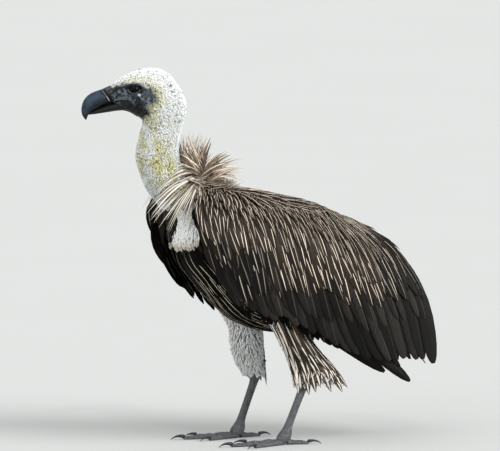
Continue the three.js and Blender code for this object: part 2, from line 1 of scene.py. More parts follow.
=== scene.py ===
"""Looks of the white-backed vulture: an immature bird standing with its wings folded.

Sizes are millimetres of the bird's own directions, ahead (towards -Y), side (its left is +X)
and up, until place() puts them into the frame, in metres. Every coat is laid over a surface
p(lie, across): feathers run along lie, and across goes round the body or along the wing.
"""
import logging
import math
from dataclasses import dataclass, field
from enum import Enum
from functools import cache, partial
from typing import Callable, ClassVar

import bpy
import numpy as np
from mathutils import Matrix, Vector


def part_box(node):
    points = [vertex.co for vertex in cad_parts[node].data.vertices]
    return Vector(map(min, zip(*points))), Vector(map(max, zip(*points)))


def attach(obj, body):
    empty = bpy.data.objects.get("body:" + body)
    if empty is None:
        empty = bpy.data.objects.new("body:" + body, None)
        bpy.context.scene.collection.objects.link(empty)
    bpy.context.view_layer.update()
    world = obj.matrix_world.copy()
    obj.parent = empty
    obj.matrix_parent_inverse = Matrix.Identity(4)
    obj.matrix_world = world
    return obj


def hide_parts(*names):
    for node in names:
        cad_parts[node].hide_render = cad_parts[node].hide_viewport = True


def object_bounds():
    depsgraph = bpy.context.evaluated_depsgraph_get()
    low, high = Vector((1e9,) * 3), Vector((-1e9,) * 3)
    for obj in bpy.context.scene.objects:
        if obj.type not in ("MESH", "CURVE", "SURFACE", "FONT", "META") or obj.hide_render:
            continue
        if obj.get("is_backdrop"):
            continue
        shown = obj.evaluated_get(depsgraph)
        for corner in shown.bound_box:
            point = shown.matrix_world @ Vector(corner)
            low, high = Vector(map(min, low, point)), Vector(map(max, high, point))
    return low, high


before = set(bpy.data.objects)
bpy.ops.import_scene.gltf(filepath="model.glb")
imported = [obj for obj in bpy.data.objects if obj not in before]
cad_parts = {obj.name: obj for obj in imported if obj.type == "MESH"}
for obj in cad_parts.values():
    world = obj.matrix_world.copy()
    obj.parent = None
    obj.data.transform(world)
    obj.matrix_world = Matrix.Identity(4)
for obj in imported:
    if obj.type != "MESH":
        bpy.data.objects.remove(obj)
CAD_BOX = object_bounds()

Array = np.ndarray
Socket = bpy.types.NodeSocket
log = logging.getLogger("vulture")

MM = 0.001
TAU = 2 * math.pi
SIGN = {"left": 1.0, "right": -1.0}  # of each side of the body

# ------------------------------------------------------------------ driving sizes, as in the solids

HEAD_TURN = math.radians(17)
NECK_AXIS = 193.0  # how far ahead the upright axis lies about which the head is turned
EGG = 0.07  # sections of the body are this much wider above their middle
EYE_AHEAD, EYE_SIDE, EYE_UP, EYE_RADIUS = 237.4, 19.8, 553.4, 10.5

# Sections from the bill's base over head, neck and back to the rump:
# top ahead, top up, under ahead, under up, half width, share of the head's turn.
BODY_STATIONS = np.array([
    [273, 559, 264, 520, 15, 1], [258, 570.5, 253, 519.5, 23, 1],
    [238, 580.5, 243, 516.5, 29.5, 1], [214, 586, 234, 511, 32.5, 1],
    [194.5, 583.5, 228, 508, 33.5, 1], [182, 576.5, 225.5, 505, 33, 1],
    [171, 562.5, 224.5, 502, 32, 1], [163, 550, 225, 499, 31, 1],
    [157, 536, 226, 495, 30, 1], [155.5, 518.5, 228, 488, 29, 0.95],
    [159.5, 499, 231, 478, 28, 0.8], [165, 478, 235, 464, 28.5, 0.6],
    [167, 457, 236.5, 445, 30, 0.35], [163, 436, 230, 422, 34, 0.15],
    [150, 417, 218, 396, 42, 0], [125, 401, 201, 374, 55, 0],
    [96, 395, 184, 345, 70, 0], [64, 390, 180, 314, 82, 0],
    [32, 384, 168, 281, 89, 0], [0, 376, 148, 257, 91, 0],
    [-33, 368, 120, 225, 89, 0], [-66, 358, 84, 192, 83, 0],
    [-102, 342, 40, 173, 73, 0], [-138, 316, -12, 167, 60, 0],
    [-168, 284, -68, 166, 47, 0], [-190, 250, -118, 170, 36, 0],
    [-202, 222, -152, 172, 27, 0]])
HEAD_END, NECK_END, LAST_STATION = 10.0, 14.5, 26.0

BILL_STATIONS = np.array([
    [273, 559, 266.5, 533.6, 14.5], [281, 555.6, 273, 531.6, 13.6],
    [288.8, 552.2, 281, 528.6, 12.6], [296.5, 549.6, 288.5, 525.2, 11.6],
    [304.7, 545.8, 295.5, 521.8, 10.4], [311.6, 539.8, 300.5, 519.4, 8.8],
    [316.1, 531.9, 304.5, 517.4, 6.8], [318.1, 521.9, 307.5, 513.6, 4.6],
    [316.6, 513, 309.6, 508.8, 2.6], [312.6, 506.8, 310.6, 505.6, 0.7]])
LOWER_BILL_STATIONS = np.array([
    [256, 533.5, 255, 520, 13.5], [267, 533.2, 266, 519.2, 12.6], [275, 531.3, 274, 517.9, 11.2],
    [285, 527.4, 284, 516.4, 9.4], [294, 523.4, 293, 515, 7.4], [301, 519.6, 300.4, 514.1, 5.0],
    [307.5, 516.4, 307, 513.3, 2.2]])

# Folded wing: ribs from its front edge back to its tips, each with four places from the upper
# edge over the shoulder and flank to the lower edge.
WING_RIBS = np.array([
    [[150, 42, 405], [178, 92, 368], [160, 102, 314], [110, 86, 231]],
    [[95, 22, 398], [112, 116, 343], [95, 122, 273], [67, 101, 203]],
    [[16, 19, 382], [24, 113, 331], [2, 114, 254], [-32, 94, 167]],
    [[-56, 16, 364], [-65, 96, 311], [-100, 98, 224], [-146, 78, 118]],
    [[-111, 10, 342], [-195, 12, 287], [-235, 28, 213], [-246, 47, 112]]], float)
WRIST_REACH, WRIST_DROP, WRIST_EXTENT = 15.0, 6.0, 0.6  # how the right wrist is held ahead
COVERTS_FRONT = {"left": 0.3, "right": 0.16}  # how much further down the coverts reach in front
# How far down the long feathers reach, how much they are tucked up, and where and how widely.
WING_RIM = {"left": (0.99, 0.12, 0.33, 0.15), "right": (0.98, 0.2, 0.28, 0.13)}

TAIL_BASE, TAIL_TIP = np.array([-120.0, 292.0]), np.array([-236.0, 96.0])
TAIL_BASE_HALF, TAIL_TIP_HALF, TAIL_ROOF = 22.0, 45.0, 7.0

# Feathered thighs: front, back, up and half width of their rings, from the hip down.
THIGH_RINGS = {
    "left": np.array([[64, -14, 226, 22], [48, -22, 200, 27], [29, -25, 172, 27],
                      [14, -48, 140, 25], [5, -72, 113, 21], [1, -84, 94, 15]], float),
    "right": np.array([[98, 22, 224, 22], [84, 14, 200, 27], [67, 10, 172, 26],
                       [64, 8, 145, 23], [57, 6, 119, 19], [44, 5, 98, 14]], float)}
THIGH_SIDE = {"left": 58.0, "right": -52.0}
LEG_ENDS = {"left": ((-26, 54, 106), (14, 58, 14)), "right": ((18, -50, 106), (50, -54, 14))}
SHANK_RADII = np.array([9, 6.8, 6.3, 6.5, 7.8])
HEEL_FLARE = 3.6
# Toes: length to the claw's root, turn in degrees from straight ahead, radius, claw's length.
TOES = {"inner": (56, -24, 6.4, 25), "middle": (84, 2, 7.0, 26),
        "outer": (62, 27, 6.2, 21), "hind": (34, 172, 6.2, 25)}
TOE_START = 4.0
TOE_JOINTS = {"inner": 2, "middle": 3, "outer": 4, "hind": 1}
LENS = ((0.3, 0.92), (0.7, 0.62), (0.95, 0.2), (1.0, -1.0))  # a scale's rings: share, height

COLLAR_STATION, COLLAR_OUT = 14.6, 5.3
# Ruff: where its locks end, ahead, aside and up; the crest fans as far aside as its middle row.
CREST_TIPS = np.array([
    [162, 15, 480], [149, 22, 484], [133, 28, 487], [119, 34, 477], [105, 40, 466],
    [86, 45, 452], [68, 48, 434], [62, 48, 414], [68, 46, 399]], float)
FRINGE_TIPS = np.array([
    [150, 20, 485], [158, 22, 482], [165, 25, 481], [172, 28, 482], [176, 31, 468],
    [180, 33, 456], [183, 34, 449], [180, 36, 440], [178, 38, 430]], float)
DRAPE_TIPS = np.array([
    [190, 33, 430], [212, 38, 404], [221, 42, 384], [228, 44, 358], [214, 50, 348],
    [199, 55, 338], [184, 63, 338], [167, 71, 330], [154, 79, 334]], float)

# Depth of the coat over the skin, by station of the body.
COAT_AT = np.array([0.0, 2.0, 4.0, 10.0, 13.5, 15.5, 18.0, 26.0])
COAT_DEPTH = np.array([0.8, 1.8, 2.2, 2.6, 3.6, 7.0, 9.0, 8.0])
BARE_DEPTH = 0.3
# White bib of the crop: its upper edge, as degrees round the body against stations.
BIB_TURN = np.array([0, 145, 158, 170, 180, 192, 205, 225, 240, 360], float)
BIB_TOP = np.array([15.3, 15.3, 15.95, 16.4, 16.8, 17.2, 17.3, 16.4, 15.3, 15.3])

# Outlines in the head's own plane, ahead and up: bare face, lids, and lines on face and bill.
BARE_FACE = np.array([
    [275, 557.3], [271.4, 556.5], [265.2, 559.1], [260.3, 561.7], [252.8, 564.7], [242.9, 567.3],
    [235.5, 567.3], [226.8, 564.7], [218.2, 560.9], [210.8, 557.3], [204.6, 549.2], [202.4, 541.0],
    [204, 535.7], [213.2, 532.3], [217.6, 530.5], [216.3, 525.0], [213.8, 520.0], [215.7, 514.5],
    [221.9, 509.4], [226, 507.7], [233, 509.7], [240, 502.7], [290, 504.6], [295, 559.1]])
LID_MIDDLE, LID_HALF, LID_ABOVE, LID_BELOW = np.array([238.3, 555.6]), 8.0, 4.4, 5.8
GAPE_LINE = np.array([[278, 533.2], [271.4, 534.4], [260.3, 536.4], [250.4, 536.8], [244.2, 536.0]])
BROW_LINE = np.array([[262, 562.3], [251, 564.3], [240, 566.7], [229, 565.1]])
BROW_SHADE = np.array([[272, 555.9], [260.3, 558.6], [250.4, 560.9], [240.5, 563.4], [229, 562.3]])
THROAT_LINE = np.array([[242.9, 526.9], [230.6, 521.8], [220.7, 514.3]])
CHEEK_FOLDS = (np.array([[262, 541.3], [250.4, 542.6], [244, 541.0]]),
               np.array([[243.5, 538.0], [239, 533.4], [235.5, 528.8]]),
               np.array([[229, 543.4], [222.5, 537.9], [214, 533.4]]),
               np.array([[262, 551.4], [256, 548.0], [250, 547.6]]))
FLECK = np.array([[231.4, 546.9], [229.4, 546.3]])
HORN_GROOVE = np.array([[289.2, 554.6], [288.6, 553.0], [282.5, 544.8], [276.4, 532.6]])
NOSTRIL_RIM = np.array([[287.0, 552.0], [281.6, 544.2], [276.0, 537.0]])
NOSTRIL = np.array([[283.6, 552.6], [277.4, 543.6], [271.6, 535.0]])


# ------------------------------------------------------------------ curves and places

def curve(points: Array, at: Array) -> Array:
    """Smooth curve through points, a centripetal Catmull-Rom spline.

    Between two points it is the cubic that meets both, whose slopes there are those of the
    parabolas through three neighbouring points, with knots spaced by the root of the distance.

    Args:
        points: k points, or k points for each of n places, as (k, d) or (k, n, d).
        at: n places in points, from 0 to k - 1.
    Returns:
        The curve's n points, as (n, d).
    """
    points = np.asarray(points, float)
    if points.ndim == 2:
        points = points[:, None, :]
    ends = np.concatenate([2 * points[:1] - points[1:2], points,
                           2 * points[-1:] - points[-2:-1]])
    at = np.clip(np.asarray(at, float), 0, len(points) - 1)
    first = np.minimum(at.astype(int), len(points) - 2)
    share = (at - first)[:, None]
    column = np.arange(len(at)) if ends.shape[1] > 1 else 0
    p = [ends[first + j, column] for j in range(4)]
    gaps = [np.sqrt(np.linalg.norm(p[j + 1] - p[j], axis=1, keepdims=True)) for j in range(3)]
    middle = np.where(gaps[1] < 1e-4, 1.0, gaps[1])
    before = np.where(gaps[0] < 1e-4, middle, gaps[0])
    after = np.where(gaps[2] < 1e-4, middle, gaps[2])
    leave = middle * ((p[1] - p[0]) / before - (p[2] - p[0]) / (before + middle)
                      + (p[2] - p[1]) / middle)
    arrive = middle * ((p[2] - p[1]) / middle - (p[3] - p[1]) / (middle + after)
                       + (p[3] - p[2]) / after)
    square = 3 * (p[2] - p[1]) - 2 * leave - arrive
    cube = 2 * (p[1] - p[2]) + leave + arrive
    return p[1] + share * (leave + share * (square + share * cube))


def step(edge_low: float, edge_high: float, value: Array) -> Array:
    """Smooth step from 0 at edge_low to 1 at edge_high."""
    share = np.clip((np.asarray(value, float) - edge_low) / (edge_high - edge_low), 0, 1)
    return share * share * (3 - 2 * share)


def bell(value: Array, width: float) -> Array:
    """Bell curve: 1 at 0, falling to 0.6 at width."""
    return np.exp(-0.5 * (np.asarray(value, float) / width) ** 2)


def unit(vectors: Array) -> Array:
    """Vectors made one long."""
    return vectors / np.maximum(np.linalg.norm(vectors, axis=-1, keepdims=True), 1e-12)


def running(steps: Array) -> Array:
    """Sums of the steps before each place, from 0 to their whole."""
    return np.concatenate([[0], np.cumsum(steps)])


def either(source: np.random.Generator, share: Array | float, some: tuple[float, float],
           others: tuple[float, float], count: int) -> Array:
    """Even random numbers, a share of them from one range and the others from another."""
    return np.where(source.random(count) < share, source.uniform(*some, count),
                    source.uniform(*others, count))


def crowded(fine: Array, density: Array, count: int) -> Array:
    """Places from the first of fine ones to the last, as dense as told for each of those."""
    crowd = np.cumsum(density)
    return np.interp(np.linspace(crowd[0], crowd[-1], count), crowd, fine)


def ripple(places: Array, size: float, seed: int) -> Array:
    """Smooth uneven field from -1 to 1: the mean of sines along six fixed random directions."""
    source = np.random.default_rng(seed)
    waves = unit(source.normal(size=(6, 3))) * source.uniform(0.6, 1.5, (6, 1)) * TAU / size
    return np.sin(places @ waves.T + source.uniform(0, TAU, 6)).sum(-1) / 3.2


def turned(ahead: Array, side: Array, yaw: Array | float = HEAD_TURN) -> tuple[Array, Array]:
    """Ahead and side, in mm, after a turn about the neck's upright axis."""
    ahead, cos, sin = np.asarray(ahead, float) - NECK_AXIS, np.cos(yaw), np.sin(yaw)
    return NECK_AXIS + ahead * cos + side * sin, side * cos - ahead * sin


def found_origin() -> Array:
    """Where the frame puts the bird's own zero, from the left eye's solid."""
    low, high = (np.array(corner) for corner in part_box("eye_left"))
    ahead, side = turned(EYE_AHEAD, EYE_SIDE)
    return (low + high) / 2 - np.array([side, -ahead, EYE_UP]) * MM


ORIGIN = found_origin()


def place(ahead: Array, side: Array, up: Array) -> Array:
    """The bird's millimetres as places in the frame, in metres."""
    return np.stack(np.broadcast_arrays(side, -np.asarray(ahead, float), up), -1) * MM + ORIGIN


def head_place(ahead: Array, side: Array, up: Array) -> Array:
    """Places in the frame, in metres, of the head's own ahead, side and up in mm."""
    return place(*turned(ahead, side), up)


def head_plane(places: Array) -> Array:
    """Places in the frame as ahead, side and up of the head looking straight on, in mm."""
    side, back, up = ((places - ORIGIN) / MM).T
    return np.stack([*turned(-back, side, -HEAD_TURN), up], -1)


def off_line(at: Array, points: Array) -> Array:
    """Distance of places (n, 2) from a broken line through points (k, 2)."""
    start, way = points[:-1], np.diff(points, axis=0)
    gap = at[:, None] - start
    share = np.clip((gap * way).sum(2) / (way * way).sum(1), 0, 1)
    return np.linalg.norm(gap - share[..., None] * way, axis=2).min(1)


def within(at: Array, points: Array) -> Array:
    """Distance of places (n, 2) inside a closed outline (k, 2), negative outside it.

    A place is inside if a line from it to the right crosses the outline an odd number of times.
    """
    ring = np.concatenate([points, points[:1]])
    a, b = ring[:-1], ring[1:]
    spans = (a[:, 1] > at[:, 1:2]) != (b[:, 1] > at[:, 1:2])
    rise = np.where(b[:, 1] == a[:, 1], 1e-9, b[:, 1] - a[:, 1])
    meets = a[:, 0] + (b[:, 0] - a[:, 0]) * (at[:, 1:2] - a[:, 1]) / rise
    inside = (spans & (at[:, :1] < meets)).sum(1) % 2 == 1
    return np.where(inside, 1.0, -1.0) * off_line(at, ring)


# ------------------------------------------------------------------ surfaces that carry the coat

class Surface:
    """A surface p(lie, across) with places past its limits held at its edge."""

    lie_span = (0.0, 1.0)
    outwards = 1.0

    def base(self, lie: Array, across: Array) -> Array:
        """Places on the surface, in metres."""
        raise NotImplementedError

    def frame(self, lie: Array, across: Array) -> tuple[Array, Array, Array]:
        """Slopes along lie and across, by central differences, and the outward normal."""
        nudge = 1e-3 * (self.lie_span[1] - self.lie_span[0])
        low, high = self.lie_span
        mid = np.clip(lie, low + nudge, high - nudge)
        along = (self.base(mid + nudge, across) - self.base(mid - nudge, across)) / (2 * nudge)
        side = (self.base(lie, across + 1e-3) - self.base(lie, across - 1e-3)) / 2e-3
        return along, side, unit(np.cross(side, along)) * self.outwards

    def point(self, lie: Array, across: Array, out: Array | float = 0.0) -> Array:
        """Places at a distance in mm out from the surface."""
        lie, across = np.broadcast_arrays(np.asarray(lie, float), np.asarray(across, float))
        shape = lie.shape
        lie, across = lie.ravel(), across.ravel()
        out = np.broadcast_to(out, shape).ravel()[:, None]
        at = self.base(lie, across) + self.frame(lie, across)[2] * out * MM
        return at.reshape(*shape, 3)

    def outside(self, lie: Array, across: Array) -> Array:
        """Whether places have left the surface."""
        return (lie < self.lie_span[0]) | (lie > self.lie_span[1])


def ring_at(stations: Array, lie: Array) -> tuple[Array, Array, Array]:
    """Middles and reaches of rings, ahead and up, (n, 2), and what else stations say, (k, n).

    Both come from smooth curves through the stations' tops and unders.
    """
    top, under = curve(stations[:, :2], lie), curve(stations[:, 2:4], lie)
    return (top + under) / 2, (top - under) / 2, curve(stations[:, 4:], lie).T


class BodySurface(Surface):
    """Head, neck and trunk: an egg-shaped ring at each station, turned with the head.

    A ring is middle + reach cos(across) in its own plane and half sin(across) to the side.
    """

    lie_span = (0.0, LAST_STATION)

    def base(self, lie: Array, across: Array) -> Array:
        """Places on the ring at station lie and angle across, 0 on top and + on the left."""
        middle, reach, (half, turn) = ring_at(BODY_STATIONS, lie)
        ahead, up = (middle + reach * np.cos(across)[:, None]).T
        side = half * np.sin(across) * (1 + EGG * np.cos(across))
        return place(*turned(ahead, side, HEAD_TURN * turn), up)


@dataclass
class BillSurface(Surface):
    """A bill half: elliptic rings through its stations, in the turned head's plane."""

    stations: Array
    keel: float = 0.0

    def __post_init__(self) -> None:
        """Sets how far the stations run, forwards, so that the slopes' product points in."""
        self.lie_span = (0.0, len(self.stations) - 1.0)
        self.outwards = -1.0

    def base(self, lie: Array, across: Array) -> Array:
        """Places on the ring at a station; keel narrows it towards its top."""
        middle, reach, (half,) = ring_at(self.stations, lie)
        ahead, up = (middle + reach * np.cos(across)[:, None]).T
        side = half * np.sin(across) * (1 - self.keel * np.maximum(np.cos(across), 0) ** 2)
        return head_place(ahead, side, up)


@dataclass
class WingSurface(Surface):
    """Middle surface of a folded wing: lie runs down it, across from front to rear.

    It is the smooth curve, front to rear, through the smooth curves down its ribs.
    """

    sign: float
    inner: bool = False

    def __post_init__(self) -> None:
        """Turns the normal away from the body, or towards it for the inner face."""
        self.outwards = self.sign if self.inner else -self.sign

    def base(self, lie: Array, across: Array) -> Array:
        """Places at shares down and along the wing."""
        down, along = np.clip(lie, 0, 1), np.clip(across, 0, 1)
        rows = np.stack([curve(rib, down * 3) for rib in WING_RIBS])
        ahead, side, up = curve(rows, along * 4).T
        held = np.maximum(0, 1 - along / WRIST_EXTENT) ** 2 * (self.sign < 0)
        held = held * (0.25 + 1.0 * step(0.35, 0.95, down))
        return place(ahead + WRIST_REACH * held, side * self.sign, up - WRIST_DROP * held)

    def frame(self, lie: Array, across: Array) -> tuple[Array, Array, Array]:
        """As Surface.frame, with places held a little inside the edges."""
        return super().frame(np.clip(lie, 0.002, 0.998), np.clip(across, 0.002, 0.998))

    def outside(self, lie: Array, across: Array) -> Array:
        """Whether places have left the wing."""
        return (lie < 0) | (lie > 1) | (across < 0) | (across > 1)


class TailSurface(Surface):
    """Shallow roof of the tail: lie runs from base to tip, across from left (1) to right."""

    def base(self, lie: Array, across: Array) -> Array:
        """Places on the roof; the middle stands higher by TAIL_ROOF at the tip."""
        ridge = TAIL_BASE + (TAIL_TIP - TAIL_BASE) * lie[:, None]
        slope = (TAIL_TIP - TAIL_BASE) / np.linalg.norm(TAIL_TIP - TAIL_BASE)
        lift = TAIL_ROOF * (1 - across ** 2) * lie
        half = TAIL_BASE_HALF + (TAIL_TIP_HALF - TAIL_BASE_HALF) * lie
        return place(ridge[:, 0] + slope[1] * lift, across * half, ridge[:, 1] - slope[0] * lift)


@dataclass
class ThighSurface(Surface):
    """A feathered thigh: level elliptic rings from the hip down."""

    side: str

    def __post_init__(self) -> None:
        """Sets how far the rings run, downwards, so that the slopes' product points in."""
        self.lie_span = (0.0, len(THIGH_RINGS[self.side]) - 1.0)
        self.outwards = -1.0

    def base(self, lie: Array, across: Array) -> Array:
        """Places on the ring at lie; across is 0 in front and a quarter turn on the left."""
        front, back, up, half = curve(THIGH_RINGS[self.side], lie).T
        return place((front + back) / 2 + (front - back) / 2 * np.cos(across),
                     THIGH_SIDE[self.side] + half * np.sin(across), up)


BODY = BodySurface()
WINGS = {side: WingSurface(sign) for side, sign in SIGN.items()}
TAIL = TailSurface()
THIGHS = {side: ThighSurface(side) for side in SIGN}


# ------------------------------------------------------------------ laying out feathers

def spread(surface: Surface, lie_span: tuple[float, float], across_span: tuple[float, float],
           gap: float, source: np.random.Generator, jitter: float = 0.3) -> tuple[Array, Array]:
    """Even, slightly uneven places over part of a surface, in staggered rows.

    Rows lie where the longest line along lie has grown by 0.87 gap; in each row the places are
    gap apart in arc length, and where the rows crowd together some are left out by chance.

    Args:
        surface: the surface.
        lie_span, across_span: the part of it.
        gap: distance between neighbours, in mm.
        source: random numbers.
        jitter: how far a place strays, as a share of gap.
    Returns:
        lie and across of each place.
    """
    lie, across = np.linspace(*lie_span, 161), np.linspace(*across_span, 73)
    grid = surface.point(*np.meshgrid(lie, across, indexing="ij"))
    strides = np.linalg.norm(np.diff(grid, axis=0), axis=2) / MM
    longest = strides.max(1)
    walked = running(longest)
    rows = np.arange(0.4 * gap, walked[-1], 0.87 * gap)
    lies, acrosses = [], []
    for number, row in enumerate(rows):
        at = np.searchsorted(walked, row) - 1
        line = np.linalg.norm(np.diff(grid[at], axis=0), axis=1) / MM
        round_it = running(line)
        places = np.arange((0.25 + 0.5 * (number % 2)) * gap, round_it[-1], gap)
        places = places + source.uniform(-jitter, jitter, len(places)) * gap
        ends = row + source.uniform(-jitter, jitter, len(places)) * gap
        here = np.interp(places, round_it, across)
        keep = source.random(len(places)) < np.interp(here, across, strides[at]) / longest[at]
        lies.append(np.interp(ends, walked, lie)[keep])
        acrosses.append(here[keep])
    return np.concatenate(lies), np.concatenate(acrosses)


def comb(surface: Surface, lie: Array, across: Array, heading: Array, length: Array,
         shares: Array, lift: Array, bend: Array | float = 0.0) -> tuple[Array, Array]:
    """Middle lines of feathers that lie along a surface.

    A line takes one step for each pair of shares. A step goes cos(h) along lie and sin(h)
    across, h = heading + bend * share, both ways square and one long in the tangent plane. It
    is turned into the surface's own parameters by the slopes there, and past the surface's
    edge the line goes straight on.

    Args:
        surface: the surface combed over.
        lie, across: roots.
        heading: angle from lie towards across, in radians.
        length: lengths in mm.
        shares: shares of the length at the rings, from 0 to 1.
        lift: distance out from the surface in mm, for each feather and ring.
        bend: how far the heading turns from root to tip.
    Returns:
        The lines and their outward normals, both (n, rings, 3).
    """
    lie, across = np.array(lie, float), np.array(across, float)
    count, rings = len(lie), len(shares)
    lines, normals = np.empty((count, rings, 3)), np.empty((count, rings, 3))
    free = np.zeros(count, bool)
    way = outward = None
    for ring in range(rings):
        along, side, normal = surface.frame(lie, across)
        on = surface.base(lie, across) + normal * lift[:, ring, None] * MM
        if ring:
            rise = (lift[:, ring] - lift[:, ring - 1])[:, None] * MM
            straight = lines[:, ring - 1] + way * stride[:, None] + outward * rise
            on = np.where(free[:, None], straight, on)
            normal = np.where(free[:, None], outward, normal)
        lines[:, ring], normals[:, ring] = on, normal
        if ring == rings - 1:
            break
        turn = heading + bend * shares[ring]
        along_size = np.linalg.norm(along, axis=1)
        forth = along / along_size[:, None]
        lean = (side * forth).sum(1)
        square = side - lean[:, None] * forth
        square_size = np.linalg.norm(square, axis=1)
        new_way = (np.cos(turn)[:, None] * forth
                   + np.sin(turn)[:, None] * square / square_size[:, None])
        way = new_way if way is None else np.where(free[:, None], way, new_way)
        outward = normal
        stride = length * MM * (shares[ring + 1] - shares[ring])
        move_across = stride * np.sin(turn) / square_size
        move_lie = (stride * np.cos(turn) - move_across * lean) / along_size
        lie, across = lie + move_lie, across + move_across
        free |= surface.outside(lie, across)
    return lines, normals


@dataclass(frozen=True)
class Vane:
    """Form of one kind of feather: its rings, its cross-section and its outline.

    The half width at share t is sin(90 deg t / widest)^swell up to widest, and from there
    (1 - ((t - widest) / (1 - widest))^blunt)^sharp.
    """

    shares: tuple[float, ...]
    section: tuple[tuple[float, float], ...]
    widest: float = 0.5
    swell: float = 0.5
    blunt: float = 2.2
    sharp: float = 0.6
    quill: float = 0.15

    def outline(self) -> Array:
        """Half width at each ring, as a share of the widest."""
        t = np.array(self.shares)
        grow = np.sin(np.clip(t / self.widest, 0, 1) * math.pi / 2) ** self.swell
        fall = 1 - np.clip((t - self.widest) / (1 - self.widest), 0, 1) ** self.blunt
        return np.maximum(np.maximum(grow, self.quill) * np.maximum(fall, 0) ** self.sharp, 0.03)


BLADE = ((-1, 0), (-0.6, 0.55), (-0.16, 0.85), (0, 1.5), (0.16, 0.85), (0.6, 0.55), (1, 0),
         (0, -0.5))
WISP = ((-1, -0.5), (0, 1), (1, -0.5))

TUFT_PATCH, FEW_FEATHERS = 0.003, 3000  # a tuft's patch on the unwrap; larger ones below this

CONTOUR = Vane((0, 0.16, 0.34, 0.52, 0.7, 0.83, 0.92, 0.975), BLADE, widest=0.55)
LANCE = Vane((0, 0.14, 0.3, 0.46, 0.62, 0.77, 0.9, 0.975), BLADE, widest=0.36, blunt=1.25,
             sharp=0.95)
FLIGHT = Vane((0, 0.06, 0.14, 0.25, 0.37, 0.5, 0.62, 0.74, 0.84, 0.92, 0.965, 0.99), BLADE,
              widest=0.3, swell=0.4, blunt=5.0, sharp=0.6)
COMBED = Vane((0, 0.15, 0.32, 0.5, 0.66, 0.8, 0.91, 0.985), BLADE, widest=0.48, blunt=1.7,
              sharp=0.75)
TUFT = Vane((0, 0.4, 0.78), WISP, widest=0.45, swell=0.8, blunt=1.5, sharp=0.9, quill=0.45)


@dataclass
class Plumes:
    """One batch of feathers with the same form.

    Attributes:
        lines, normals: their middle lines and outward normals, (n, rings, 3).
        vane: their form.
        half: half width in mm, one for each.
        thick: thickness in mm of the shaft.
        roots: lie and across of each root, (n, 2).
        roll: how far each is rolled about its own line, in radians.
        cup: how far its edges hang below its shaft, as a share of its half width.
        traits: named numbers of each feather, read by the finishes.
    """

    lines: Array
    normals: Array
    vane: Vane
    half: Array
    thick: float
    roots: Array
    roll: Array | float = 0.0
    cup: float = 0.0
    traits: dict[str, Array] = field(default_factory=dict)

    def rings(self) -> Array:
        """Rings of each vane: line + across * half * x + normal * (thick * z - cup * x^2)."""
        ahead = unit(np.gradient(self.lines, axis=1))
        across = unit(np.cross(self.normals, ahead))
        above = np.cross(ahead, across)
        roll = np.broadcast_to(self.roll, len(self.lines))[:, None, None]
        across, above = (across * np.cos(roll) + above * np.sin(roll),
                         above * np.cos(roll) - across * np.sin(roll))
        x, z = np.array(self.vane.section, float).T
        outline = self.vane.outline()
        half = (self.half[:, None] * outline * MM)[:, :, None, None]
        height = (self.thick * z * MM * np.minimum(1, 0.25 + outline)[:, None])[None, :, :, None]
        return (self.lines[:, :, None] + across[:, :, None] * half * x[:, None]
                + above[:, :, None] * (height - self.cup * half * (x ** 2)[:, None]))


def unwrap_cells(roots: Array) -> tuple[Array, float]:
    """A cell for each root on an unwrap of the surface that the roots stand on.

    Roots are ranked by lie into as many rows as there are columns, and in each row by across:
    the cell is ((rank + 0.5) / columns, (row + 0.5) / columns), so no two share one.

    Args:
        roots: lie and across, (n, 2).
    Returns:
        The cells' middles, (n, 2), and their size.
    """
    count = len(roots)
    columns = math.ceil(math.sqrt(count))
    row, rank = np.empty(count, int), np.empty(count, int)
    row[np.argsort(roots[:, 0], kind="stable")] = np.arange(count) // columns
    rank[np.lexsort((roots[:, 1], row))] = np.arange(count) % columns
    return (np.stack([rank, row], 1) + 0.5) / columns, 1 / columns


def volume(vertices: Array, triangles: Array) -> float:
    """Signed volume inside closed triangles: a sixth of the sum of their triple products."""
    a, b, c = (vertices[triangles[:, i]] for i in range(3))
    return float((a * np.cross(b, c)).sum() / 6)


def all_round(count: int) -> Array:
    """Angles all round, evenly spaced from 0."""
    return np.linspace(0, TAU, count + 1)[:-1]


def ring_grid(low: float, high: float, rings: int, sides: int) -> tuple[Array, Array]:
    """Shares from low to high against angles all round, as two grids (rings, sides)."""
    return np.meshgrid(np.linspace(low, high, rings), all_round(sides), indexing="ij")


def signed_power(value: Array, power: float) -> Array:
    """A power that keeps the sign; below 1 it makes rounds squarer."""
    return np.sign(value) * np.abs(value) ** power


